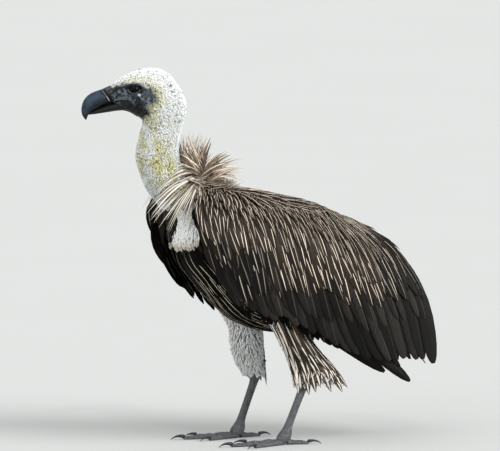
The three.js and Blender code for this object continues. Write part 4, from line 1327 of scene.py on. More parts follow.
@dataclass
class Leg:
    """Bare shank and foot: flesh for the skin, horny scales over it, and claws."""

    side: str
    finish: ScaleFinish = ScaleFinish()
    horn: HornFinish = HornFinish("claw_horn", "#141416", "#2b2c30", "#55565a", 0.4)
    claw_bend: tuple[float, float] = (-0.35, 1.05)  # radians from level at root and point
    claw_lift: float = 0.32  # how far the point is raised, as a share of the claw's length
    claw_root: float = 0.495  # half height at the root, as a share of the toe's radius
    claw_point: float = 0.35  # half height at the point, in mm
    claw_sink: float = 1.5  # how deep the root sits in the toe, in mm
    flat: float = 0.75  # how far claws are squashed towards the floor

    def shank(self, lie: Array, across: Array, out: float = 0.0) -> Array:
        """Place on the shank: lie from 0 at the ankle to 1 at the foot, across all round.

        Radius is the curve through SHANK_RADII, flared smoothly to the heel pad, whose foot
        is rounded off by sqrt(1 - 0.6 s^2).
        """
        top, foot = (np.array(end, float) for end in LEG_ENDS[self.side])
        middle = top + (foot - top) * np.asarray(lie)[..., None]
        radius = np.interp(lie, np.linspace(0, 1, 5), SHANK_RADII) + HEEL_FLARE * step(
            0.84, 1.02, lie)
        radius = radius * np.sqrt(1 - 0.6 * np.clip((lie - 1.04) / 0.08, 0, 1) ** 2) + out
        return place(middle[..., 0] + radius * np.cos(across),
                     middle[..., 1] + radius * np.sin(across) * 0.92, middle[..., 2])

    def toe(self, name: str, share: Array, across: Array, out: float = 0.0) -> Array:
        """Place on a toe: share from the ball to the claw's root, across from below round it.

        A section is a circle squashed to the toe's width and height, flat on the floor. Both
        taper, and swell over each pad, as (0.93 - 0.3 t) (1 + 0.09 cos(2 pi t (joints + 0.5))).
        """
        length, _, radius, _ = TOES[name]
        size = (0.93 - 0.3 * share) * (
            1 + 0.09 * np.cos(TAU * (share * (TOE_JOINTS[name] + 0.5))))
        width, height = radius * size + out, radius * size * (1.7 - 0.55 * share) / 2 + out
        up = np.maximum(height * (1 - np.cos(across)), 0.35) - 0.35
        return self.beside_toe(name, TOE_START + length * share, width * np.sin(across), up)

    def beside_toe(self, name: str, reach: Array, off: Array, up: Array) -> Array:
        """Places reach out along a toe's line, off to its left and up from the floor, in mm."""
        ahead, side, _ = LEG_ENDS[self.side][1]
        turn = math.radians(TOES[name][1]) * SIGN[self.side]
        return place(ahead + reach * math.cos(turn) - off * math.sin(turn),
                     side + reach * math.sin(turn) + off * math.cos(turn), up)

    def flesh(self) -> list[Piece]:
        """Shank, heel pad and toes for the skin to be joined to."""
        marks = {**UNMARKED, "leg": 1}
        shank = self.shank(*ring_grid(-0.15, 1.135, 57, 32), -0.6)
        toes = [self.toe(name, *ring_grid(0, 1, 44, 28), -0.5) for name in TOES]
        return [closed_tube("leg", rings, marks) for rings in (shank, *toes)]

    def scales(self) -> bpy.types.Object:
        """Broad scutes over the toes and the front of the shank, small round scales behind.

        Each is a lens: a flattened dome over its own patch of the surface.
        """
        piece = Piece(f"leg_scales_{self.side}")
        source = np.random.default_rng(71 if self.side == "left" else 72)
        for name, (length, *_) in TOES.items():
            count, toe = int(length / 3.6), partial(self.toe, name)
            share = (np.arange(count) + 0.7) / (count + 0.4)
            self.plates(piece, toe, share, math.pi, 0.52 / (count + 0.4), 1.25, 0.5, source)
            for off in (-1.9, 1.9):
                self.plates(piece, toe, share + 0.5 / count * 0.5, math.pi + off * 0.93,
                            0.4 / (count + 0.4), 0.42, 0.35, source)
        rows = 26
        share = (np.arange(rows) + 0.5) / rows * 1.05
        self.plates(piece, self.shank, share, 0.0, 0.5 / rows, 0.62, 0.45, source)
        lie, across = np.meshgrid(share, np.linspace(1.05, TAU - 1.05, 9), indexing="ij")
        across = across + 0.26 * (np.arange(rows) % 2)[:, None]
        self.plates(piece, self.shank, lie.ravel(), across.ravel(), 0.48 / rows, 0.25, 0.4,
                    source)
        return piece.build(self.finish, "leg_skin", 60.0)

    def plates(self, piece: Piece, surface: Callable[..., Array], lie: Array,
               across: Array | float, reach: float, width: float, rise: float,
               source: np.random.Generator) -> None:
        """Adds lens-shaped plates centred at places of a surface(lie, across, out).

        Each ring of LENS lies at a share of the patch's half size, out by rise * height - 0.3.
        """
        turn, (lie, across) = all_round(10), np.broadcast_arrays(lie, across)
        rings = np.stack([surface(
            lie[:, None] + reach * share * signed_power(np.cos(turn), 0.7),
            across[:, None] + width * share * signed_power(np.sin(turn), 0.7),
            rise * height - 0.3) for share, height in LENS], 1)
        piece.add_tubes(rings, {"tone": source.random(len(lie))})

    def claws(self) -> list[bpy.types.Object]:
        """Hooked claws: an arc of a flattened circle that tapers to a point over the floor."""
        made = []
        for name, (length, _, radius, claw) in TOES.items():
            share, across = ring_grid(0, 1, 26, 18)
            low, high = self.claw_bend
            arc, bend = claw / (high - low), low + (high - low) * share
            reach = arc * (np.sin(bend) - math.sin(low))
            drop = arc * (np.cos(bend) - math.cos(low)) + self.claw_lift * claw * share
            root = self.claw_root * radius
            size = root + (self.claw_point - root) * share ** 0.85
            size = size * np.sqrt(np.clip(share * 14 + 0.35, 0, 1))
            rise = size * np.cos(across)
            reach = TOE_START + length - self.claw_sink + reach + rise * np.sin(bend)
            up = self.flat * (0.75 * radius * (1 - share) + drop) + rise * np.cos(bend) + 0.3
            rings = self.beside_toe(name, reach, size * 0.8 * np.sin(across), np.maximum(up, 0.2))
            made.append(closed_tube(f"claw_horn_{self.side}_{name}", rings, {"raised": 0.0}).build(
                self.horn, "claw_horn", 180.0, (f"claw_{self.side}_{name}",)))
        return made


# ------------------------------------------------------------------ eyes and bill

@dataclass
class Eyes:
    """Eyeballs: closed balls whose cornea swells a little about the axis."""

    forward: float = 0.22  # how far the axis leans ahead of straight sideways
    upward: float = -0.03
    finish: EyeFinish = EyeFinish()

    def build(self) -> list[bpy.types.Object]:
        """Makes both: radius * (0.985 + 0.03 bell(turn)) round the axis."""
        made = []
        for name, sign in SIGN.items():
            turn, around = ring_grid(0.02, math.pi - 0.02, 48, 64)
            radius = EYE_RADIUS * (0.985 + 0.03 * bell(turn, 0.5))
            axis = unit(np.array([self.forward, sign, self.upward]))
            up = unit(np.cross(axis, np.array([sign, -self.forward, 0.0])))
            side = np.cross(axis, up)
            at = radius[..., None] * (np.cos(turn)[..., None] * axis + np.sin(turn)[..., None] * (
                np.cos(around)[..., None] * up + np.sin(around)[..., None] * side))
            at = at + np.array([EYE_AHEAD, EYE_SIDE * sign, EYE_UP])
            made.append(closed_tube(f"eyeball_{name}", head_place(*np.moveaxis(at, -1, 0)),
                                    {"turn": turn}).build(self.finish, "eye", 180.0,
                                                          (f"eye_{name}",)))
        return made


@dataclass
class Bill:
    """Cere with its nostrils, and the two horny halves of the hooked bill."""

    turns: ClassVar[Array] = np.linspace(-math.pi, math.pi, 97)[:-1]
    keel: float = 0.28
    # the cere's fold colour is the pale painted highlight on the nostril's rim
    cere: SkinFinish = SkinFinish("cere_skin", "#121417", "#a9adb2", leg="#10141a")
    horn: HornFinish = HornFinish("bill_horn", "#05080c", "#2c4052", "#4b6072", 0.38)
    # the lower half's horn, darker than the upper's: painted shade beneath the upper half
    under: HornFinish = HornFinish("bill_horn_below_shaded", "#020203", "#060709", "#1a1615", 0.5)

    def build(self) -> list[bpy.types.Object]:
        """Makes cere, upper half and lower half."""
        return [self.build_cere(), self.build_upper(), self.build_lower()]

    def edge(self, across: Array) -> Array:
        """Station at which horn takes over from cere: further back below than above."""
        return 1.45 + 0.3 * (1 + np.cos(across))

    def grid(self, stations: Array, low: Array | float, high: Array | float, rings: int,
             keel: float, out: float = 0.0) -> tuple[Array, Array, Array]:
        """Lie, across and places over part of a bill half, between stations low and high."""
        surface = BillSurface(stations, keel)
        share, across = np.meshgrid(np.linspace(0, 1, rings), self.turns, indexing="ij")
        lie = low + (high - low) * share
        return lie, across, surface.point(lie, across, out)

    def build_cere(self) -> bpy.types.Object:
        """Cere: grooves are cut as bells of the distance from lines on its flanks."""
        _, _, places = self.grid(BILL_STATIONS, 0.0, self.edge(self.turns) + 0.1, 90, 0.0, -0.1)
        shape = places.shape[:2]
        ahead, side, up = head_plane(places.reshape(-1, 3)).T
        at, out, sign = np.stack([ahead, up], 1), np.abs(side), np.sign(side)
        flank = step(3.5, 7.0, out)
        nostril, rim, groove = (off_line(at, line) for line in (NOSTRIL, NOSTRIL_RIM, HORN_GROOVE))
        out = out + flank * (-1.9 * bell(nostril, 0.95) + 0.6 * bell(rim, 0.8)
                             + 0.18 * ripple(places.reshape(-1, 3) / MM, 4.0, 21))
        out = out - 0.9 * bell(groove, 0.7) * step(1, 3, out)
        # painted highlight on the nostril's rim, painted shade in the nostril and in the groove at
        # the horn's edge
        raised = flank * 1.2 * bell(rim, 0.6)
        crease = np.clip(flank * 1.2 * bell(nostril, 1.0) + bell(groove, 1.0), 0, 1)
        return closed_tube("cere_skin", head_place(ahead, sign * out, up).reshape(*shape, 3), {
            **UNMARKED, "bare": 1, "raised": raised.reshape(shape),
            "crease": crease.reshape(shape)}).build(self.cere, "bare_skin", 180.0, ("cere",))

    def build_upper(self) -> bpy.types.Object:
        """Upper half: a rolled rim behind, faint growth steps, and a sharp cutting edge."""
        last = len(BILL_STATIONS) - 1.0
        lie, across, places = self.grid(BILL_STATIONS, self.edge(self.turns), last, 170,
                                        self.keel, 0.15)
        shape = lie.shape
        ahead, side, up = head_plane(places.reshape(-1, 3)).T
        out, sign = np.abs(side), np.sign(side)
        steps = 0.12 * np.sin(lie.ravel() * 9 + 2 * ripple(places.reshape(-1, 3) / MM, 15.0, 22))
        out = np.maximum(out + step(2, 6, out) * steps * step(2.2, 3.2, lie.ravel()), 0)
        under = bell(np.abs(across) - 2.55, 0.16).ravel() * step(2.2, 3.0, lie.ravel())
        out = out + 0.35 * under * step(1, 3, out)
        # darker, below nought, towards the hook; painted shade on the lower side towards the
        # cutting edge and painted highlight on the rolled ridge above it
        shaded = step(last - 2.2, last - 0.6, lie) + 0.6 * step(1.5, 2.3, np.abs(across))
        raised = (0.2 * under).reshape(shape) - shaded
        return closed_tube("bill_upper_horn", head_place(ahead, sign * out, up).reshape(
            *shape, 3), {"raised": raised}).build(self.horn, "bill_horn", 180.0, ("bill_upper",))

    def build_lower(self) -> bpy.types.Object:
        """Lower half: a plain trough-shaped horn under the upper's edge."""
        last = len(LOWER_BILL_STATIONS) - 1.0
        lie, _, places = self.grid(LOWER_BILL_STATIONS, 0.0, last, 80, 0.0, -0.1)
        # painted highlight at the tip
        return closed_tube("bill_lower_horn", places, {
            "raised": 0.3 * step(last - 0.6, last, lie)}).build(
                self.under, "bill_horn", 180.0, ("bill_lower",))


# ------------------------------------------------------------------ coats

SEEDS = {"crown_down": 31, "nape_down": 32, "neck_down": 33, "crop_down": 34,
         "ruff_crest_vanes": 41, "ruff_drape_left": 42, "ruff_drape_right": 43,
         "back_feathers": 51, "breast_feathers": 52, "rump_coat": 53, "wing_left": 61,
         "wing_right": 62, "tail_vanes": 81, "thigh_left_feathers": 91,
         "thigh_right_feathers": 92, "thigh_left_down": 93, "thigh_right_down": 94}


def begin(name: str) -> tuple[Piece, np.random.Generator]:
    """An empty piece and its own random numbers."""
    return Piece(name), np.random.default_rng(SEEDS[name])


class Finishes(Enum):
    """Finishes of feathers and down."""

    COVERT = VaneFinish("covert_vane", "#080706", "#352c25", "#dccebb", 0.62, 0.12)
    # the flight feathers' near-black rim is painted shade of the gaps between them
    FLIGHT = VaneFinish("flight_vane", "#040404", "#282522", "#5a5046", 0.55, 0.1, 2.2, 0.45,
                        "#010101", 0.85)
    BODY = VaneFinish("body_vane", "#030202", "#0c0a08", "#cabfa9", 0.7, 0.05)
    MANTLE = VaneFinish("mantle_vane", "#0b0907", "#382e27", "#d2c4b1", 0.65, 0.12)
    RUMP = VaneFinish("rump_vane", "#0b0908", "#221c18", "#7b6d5c", 0.65)
    RUFF = VaneFinish("ruff_vane", "#1c1510", "#84705c", "#f5ecdd", 0.7, 0.2, 1.4, 0.5)
    DRAPE = VaneFinish("drape_vane", "#2f261f", "#a89c8b", "#f7f2e8", 0.7, 0.2, 1.4, 0.4)
    THIGH = VaneFinish("thigh_vane", "#171210", "#4c3e32", "#ece5d8", 0.7)
    WOOL = DownFinish("neck_wool", "#41403b", "#f5f9fa", "#e4da74")
    CROP = DownFinish("crop_wool", "#e2e6e9", "#fdfdfd", "#b5a78c")
    SHANK = DownFinish("leg_wool", "#8b8e92", "#e6e8ea", "#d9c8a6")

    def material(self) -> bpy.types.Material:
        """The finish's material, made once."""
        return self.value.material()


@dataclass
class Laying:
    """How one batch of feathers is laid on a surface, in mm and radians."""

    vane: Vane
    length: Array | float
    half: Array | float
    root: Array | float
    tip: Array | float
    thick: float = 0.5
    uneven: float = 0.1
    heading: Array | float = 0.0
    sway: float = 0.06
    bend: float = 0.0
    swing: float = 0.03
    arch: float = 1.6
    roll: Array | float = 0.0
    cup: float = 0.0
    scatter: float = 0.3

    def onto(self, piece: Piece, surface: Surface, lie: Array, across: Array,
             source: np.random.Generator, **traits: Array | float | tuple[float, float]) -> None:
        """Combs the feathers, gives them their traits and adds them to a piece.

        A feather rises from root to tip as root + (tip - root) (1 - (1 - t)^arch).

        Args:
            piece: what they are added to.
            surface: what they lie on.
            lie, across: roots.
            source: random numbers.
            traits: tone and what else the finish reads; a pair is the ends of a random range.
        """
        count = len(lie)
        traits = {name: np.broadcast_to(source.uniform(*value, count) if isinstance(value, tuple)
                                        else value, count).astype(float)
                  for name, value in traits.items()}
        vary = 1 + self.uneven * source.uniform(-1, 1, count)
        length = np.broadcast_to(self.length, count) * vary
        heading = self.heading + self.sway * source.normal(size=count)
        shares = np.array(self.vane.shares)
        rise = 1 - (1 - shares) ** self.arch
        root, tip = (np.broadcast_to(end, count)[:, None] for end in (self.root, self.tip))
        lift = root + (tip - root) * rise + self.scatter * source.normal(size=(count, 1)) * rise
        bend = self.bend + self.swing * source.normal(size=count)
        lines, normals = comb(surface, lie, across, heading, length, shares, lift, bend)
        piece.add_plumes(Plumes(
            lines, normals, self.vane, np.broadcast_to(self.half, count) * vary, self.thick,
            np.stack([lie, across], 1), self.roll + 0.04 * source.normal(size=count), self.cup,
            traits))


@dataclass
class WoollyDown:
    """Short woolly down of head, neck and crop: curdled tufts with dark gaps between."""

    gap: float = 1.95
    length: float = 4.2
    half: float = 0.68
    # share of dark tufts: the dark skin between tufts, with painted shade of the gaps
    dark_share: float = 0.085

    def build(self) -> list[bpy.types.Object]:
        """Makes crown, nape, neck and crop."""
        return [self.region("crown_down", (0.1, 3.6)), self.region("nape_down", (3.6, 8.6)),
                self.region("neck_down", (8.6, 15.3)), self.crop()]

    def region(self, name: str, span: tuple[float, float]) -> bpy.types.Object:
        """Tufts over head or neck, shorter and sparser towards the bare face."""
        piece, source = begin(name)
        neck = span[0] > 8
        lie, across = spread(BODY, span, (-math.pi, math.pi), self.gap * (1.12 if neck else 1),
                             source)
        places = BODY.base(lie, across)
        bare = face_share(places)
        keep = source.random(len(lie)) > bare * 1.02
        lie, across, places = lie[keep], across[keep], places[keep]
        near = within(head_plane(places)[:, [0, 2]], BARE_FACE) if not neck else -20.0
        short = 1 - 0.55 * step(-7, 1, near)
        low = step(13.2, 14.6, lie)
        rear = step(9, 10, lie) * step(1.3, 0.6, np.abs(across))
        # dark tufts stand for the dark skin and painted shade in the gaps, more of them near the
        # bare face
        dark = self.dark_share * (1 - 0.95 * rear) + 0.3 * step(-9, 0, near)
        tone = either(source, dark, (0, 0.4), (0.85, 1.0), len(lie))
        tone = tone * (1 - 0.25 * low) * (1 - 0.5 * step(-4, 1.5, near))
        swirl = 0.8 * ripple(places / MM, 9.0, SEEDS[name]) + source.normal(0, 0.6, len(lie))
        laying = Laying(TUFT, self.length * short, self.half * (0.55 + 0.45 * short),
                        -coat_depth(lie, places), -0.9 * short, thick=0.6, uneven=0.3,
                        heading=swirl, sway=0.0, swing=0.5, arch=1.5, scatter=0.4)
        stain = stain_share(lie, across, places) * source.uniform(0.3, 1.0, len(lie))
        laying.onto(piece, BODY, lie, across, source, tone=tone, stain=stain)
        return piece.build(Finishes.WOOL, "neck_down", 180.0)

    def crop(self) -> bpy.types.Object:
        """White crop bib, smooth, with a rim of buff tufts below."""
        piece, source = begin("crop_down")
        lie, across = spread(BODY, (14.9, 17.9), (0.3 * math.pi, 1.7 * math.pi), 2.5, source)
        share = crop_share(lie, across)
        keep = share > 0.3
        lie, across, share = lie[keep], across[keep], share[keep]
        rim = step(16.6, 17.1, lie)
        aside = 180 - np.abs(np.degrees(across) - 180)
        # the rim's tufts sweep along it, from both sides towards its lowest point
        sweep = 0.95 * rim * np.clip((138 - aside) / 22, -1, 1) * np.sign(math.pi - across)
        laying = Laying(TUFT, 8.5 + 9.0 * rim, 1.4 + 0.3 * rim, -6.0, -0.8 + 0.8 * rim, thick=0.8,
                        uneven=0.2, heading=sweep, sway=0.15, scatter=0.2)
        laying.onto(piece, BODY, lie, across, source,
                    tone=source.uniform(0.85, 1.0, len(lie)) - 0.3 * rim,
                    stain=rim * source.uniform(0.3, 1.0, len(lie)))
        return piece.build(Finishes.CROP, "neck_down", 180.0)


@dataclass
class Ruff:
    """Ruff of long narrow feathers: an erect crest behind and locks that drape either side.

    All rise steeply from the collar before they part, like water from a fountain.
    """

    crest_count: int = 150
    fringe_count: int = 44
    drape_count: int = 80

    def build(self) -> list[bpy.types.Object]:
        """Makes the crest and both drapes."""
        return [self.crest(), *(self.drape(*side) for side in SIGN.items())]

    def locks(self, piece: Piece, roots: Array, tips: Array, lift: Array, part: float,
              half: Array, source: np.random.Generator, bright: Array | float) -> None:
        """Adds feathers along quadratic curves, each turned at random about its line.

        p = (1 - t)^2 root + 2 t (1 - t) (root + part (tip - root) + lift) + t^2 tip.

        Args:
            piece: what they are added to.
            roots, tips, lift: the curves' ends and what raises their middle point, (n, 3).
            part: how near the middle point is to the tip.
            half: half widths in mm.
            source: random numbers.
            bright: middle of their tones.
        """
        t = np.array(LANCE.shares)[None, :, None]
        middle = (roots + part * (tips - roots) + lift)[:, None]
        lines = (1 - t) ** 2 * roots[:, None] + 2 * t * (1 - t) * middle + t ** 2 * tips[:, None]
        count = len(roots)
        along = unit(np.gradient(lines, axis=1))
        ways = unit(source.normal(0, 0.6, (count, 3)) + np.array([1.0, 0.0, 0.3]))
        normals = unit(ways[:, None] - (ways[:, None] * along).sum(2, keepdims=True) * along)
        piece.add_plumes(Plumes(
            lines, normals, LANCE, half, thick=0.4, roots=roots[:, [1, 0]], cup=-0.15, traits={
                "tone": np.clip(source.normal(bright, 0.3, count), 0, 1),
                "streak": np.where(source.random(count) < 0.75,
                                   source.uniform(0.7, 1.0, count), 0.1),
                "wide": source.uniform(0.4, 1.1, count)}))

    def ends(self, table: Array, row: Array, aside: Array) -> Array:
        """Ends of locks read off a table of tips, their sideways place scaled by aside."""
        ahead, side, up = curve(table, row).T
        return place(ahead, side * aside, up)

    def crest(self) -> bpy.types.Object:
        """Crest: erect behind the neck, fanned out sideways and back."""
        piece, source = begin("ruff_crest_vanes")
        count = self.crest_count
        row, share = source.uniform(0, len(CREST_TIPS) - 1, count), source.uniform(-1, 1, count)
        lie = COLLAR_STATION - 0.75 + 0.13 * row + source.uniform(-0.3, 0.3, count)
        roots = BODY.point(lie, np.radians(48 * share), source.uniform(6, 15, count))
        tips = self.ends(CREST_TIPS, row, share)
        reach = either(source, 0.4, (0.9, 1.03), (0.5, 0.92), count)
        tips = roots + (tips - roots) * reach[:, None] + source.normal(0, 2.2, (count, 3)) * MM
        lift = np.stack([0 * row, 0 * row, source.uniform(-4, 9, count) + 2.2 * row], 1) * MM
        lift = lift * reach[:, None]
        self.boss(piece, source)
        self.locks(piece, roots, tips, lift, 0.42, source.uniform(1.2, 2.4, count), source,
                   0.55 + 0.35 * step(2.5, 0.5, row))
        # pale feathers that lean forwards beside the neck
        row = np.linspace(0, len(FRINGE_TIPS) - 1, self.fringe_count)
        for side in SIGN.values():
            roots = place(source.normal(142, 4, len(row)), side * source.normal(31, 4, len(row)),
                          source.normal(420, 4, len(row)))
            tips = self.ends(FRINGE_TIPS, row, np.full(len(row), side))
            reach = source.uniform(0.7, 1.04, len(row))[:, None]
            tips = roots + (tips - roots) * reach + source.normal(0, 1.6, (len(row), 3)) * MM
            lift = np.array([0, 0, 7.0]) * MM * reach
            self.locks(piece, roots, tips, lift, 0.45, source.uniform(0.9, 1.7, len(row)),
                       source, 0.95)
        return piece.build(Finishes.RUFF, "ruff_feathers", 60.0, ("ruff_crest",))

    def boss(self, piece: Piece, source: np.random.Generator) -> None:
        """Adds short fluffy feathers that fill the crest's foot."""
        lie, across = spread(BODY, (COLLAR_STATION - 1.1, COLLAR_STATION + 1.3), (-1.0, 1.0), 4.5,
                             source)
        keep = np.abs(across) < 1 - 0.55 * step(14.3, 15.3, lie)
        lie, across = lie[keep], across[keep]
        laying = Laying(LANCE, 26.0, 3.0, -1.0, 17.0, uneven=0.3, sway=0.3, arch=1.0, scatter=2.0,
                        heading=source.normal(0, 0.5, len(lie)))
        laying.onto(piece, BODY, lie, across, source, tone=(0.35, 1.0), streak=(0.2, 1.0),
                    wide=0.6)

    def drape(self, name: str, sign: float) -> bpy.types.Object:
        """Drape: from the collar's crown over the neck's foot, forwards and down."""
        piece, source = begin(f"ruff_drape_{name}")
        count = self.drape_count if sign > 0 else self.drape_count // 2
        row = (np.arange(count) + source.random(count)) / count * (len(DRAPE_TIPS) - 1)
        lie = COLLAR_STATION - 0.4 + 0.06 * row + source.uniform(-0.15, 0.15, count)
        roots = BODY.point(lie, np.radians(sign * (20 + 5 * row)), source.uniform(3, 12, count))
        tips = self.ends(DRAPE_TIPS - [0 if sign > 0 else 20, 0, 0], row, np.full(count, sign))
        reach = either(source, 0.5, (0.92, 1.08), (0.6, 0.95), count)
        tips = roots + (tips - roots) * reach[:, None] + source.normal(0, 2.4, (count, 3)) * MM
        lift = np.stack([sign * source.uniform(8, 15, count), 0 * row,
                         source.uniform(16, 32, count)], 1) * MM * reach[:, None]
        self.locks(piece, roots, tips, lift, 0.5, source.uniform(1.0, 2.4, count), source, 0.55)
        return piece.build(Finishes.DRAPE, "ruff_feathers", 60.0, (f"ruff_{name}",))


@dataclass
class BodyCoat:
    """Feathers of back, breast, belly and rump."""

    def build(self) -> list[bpy.types.Object]:
        """Makes the three coats."""
        return [self.back(), self.breast(), self.rump()]

    def back(self) -> bpy.types.Object:
        """Brown back feathers between the wings."""
        piece, source = begin("back_feathers")
        lie, across = spread(BODY, (14.9, 23.0), (-1.25, 1.25), 10.5, source)
        size = np.interp(lie, [14.9, 17, 23], [0.62, 0.85, 1.2])
        raised = 8.0 * step(14.4, 15.4, lie) * step(22.0, 19.0, lie)
        heading = np.sign(across) * 1.15 * step(0.05, 0.5, np.abs(across)) * step(19, 16, lie)
        fore = step(19.0, 17.0, lie)
        laying = Laying(COMBED, 50 * size, (6.4 - 1.6 * fore) * size, -8.5 + raised,
                        -0.8 + raised, heading=heading, sway=0.04, scatter=0.2)
        laying.onto(piece, BODY, lie, across, source, tone=source.uniform(0.3, 1, len(lie)),
                    streak=np.clip(source.uniform(0.3, 0.9, len(lie)) + 0.4 * fore, 0, 1),
                    wide=(0.45, 0.8))
        return piece.build(Finishes.MANTLE, "body_feathers")

    def breast(self) -> bpy.types.Object:
        """Near-black breast and belly feathers, narrow, with thin pale lines."""
        piece, source = begin("breast_feathers")
        lie, across = spread(BODY, (15.15, 24.2), (1.15, TAU - 1.15), 13.2, source)
        keep = self.clear_of_crop(lie, across)
        lie, across = lie[keep], across[keep]
        size = np.interp(lie, [14.7, 16, 20, 24], [0.7, 0.9, 1.15, 1.2])
        laying = Laying(LANCE, 82 * size, 9.0 * size, -8.0, -0.6, thick=0.6, uneven=0.15,
                        sway=0.05)
        laying.onto(
            piece, BODY, lie, across, source, tone=source.uniform(0, 1, len(lie)) ** 1.5,
            streak=np.where(source.random(len(lie)) < 0.85 - 0.6 * step(17.4, 16.9, lie),
                            source.uniform(0.7, 1.0, len(lie)), 0),
            wide=source.uniform(0.4, 0.75, len(lie)) + 0.45 * bell(lie - 17.9, 0.9))
        lie, across = spread(BODY, (15.2, 16.9), (1.7, TAU - 1.7), 6.0, source)
        keep = ~self.clear_of_crop(lie, across) & (crop_share(lie, across) < 0.3)
        laying = Laying(LANCE, 15.0, 3.6, -6.0, -0.8, uneven=0.2, sway=0.1)
        laying.onto(piece, BODY, lie[keep], across[keep], source, tone=(0, 0.8),
                    streak=(0, 0.4), wide=0.4)
        return piece.build(Finishes.BODY, "body_feathers")

    def clear_of_crop(self, lie: Array, across: Array) -> Array:
        """Whether long feathers rooted at places leave the white bib uncovered."""
        return np.max([crop_share(lie + ahead, across + aside) for aside in (-0.06, 0.0, 0.06)
                       for ahead in np.linspace(0, 1.7, 12)], axis=0) < 0.5

    def rump(self) -> bpy.types.Object:
        """Rump feathers and the coverts over and under the tail's base."""
        piece, source = begin("rump_coat")
        lie, across = spread(BODY, (22.6, LAST_STATION), (-math.pi, math.pi), 11.5, source)
        laying = Laying(CONTOUR, 48.0, 10.5, -8.0, -0.8, thick=0.6, uneven=0.12)
        laying.onto(piece, BODY, lie, across, source, tone=(0, 1), streak=(0.1, 0.5),
                    wide=(0.5, 0.9))
        return piece.build(Finishes.RUMP, "rump_feathers")


# ------------------------------------------------------------------ wings, tail and thighs

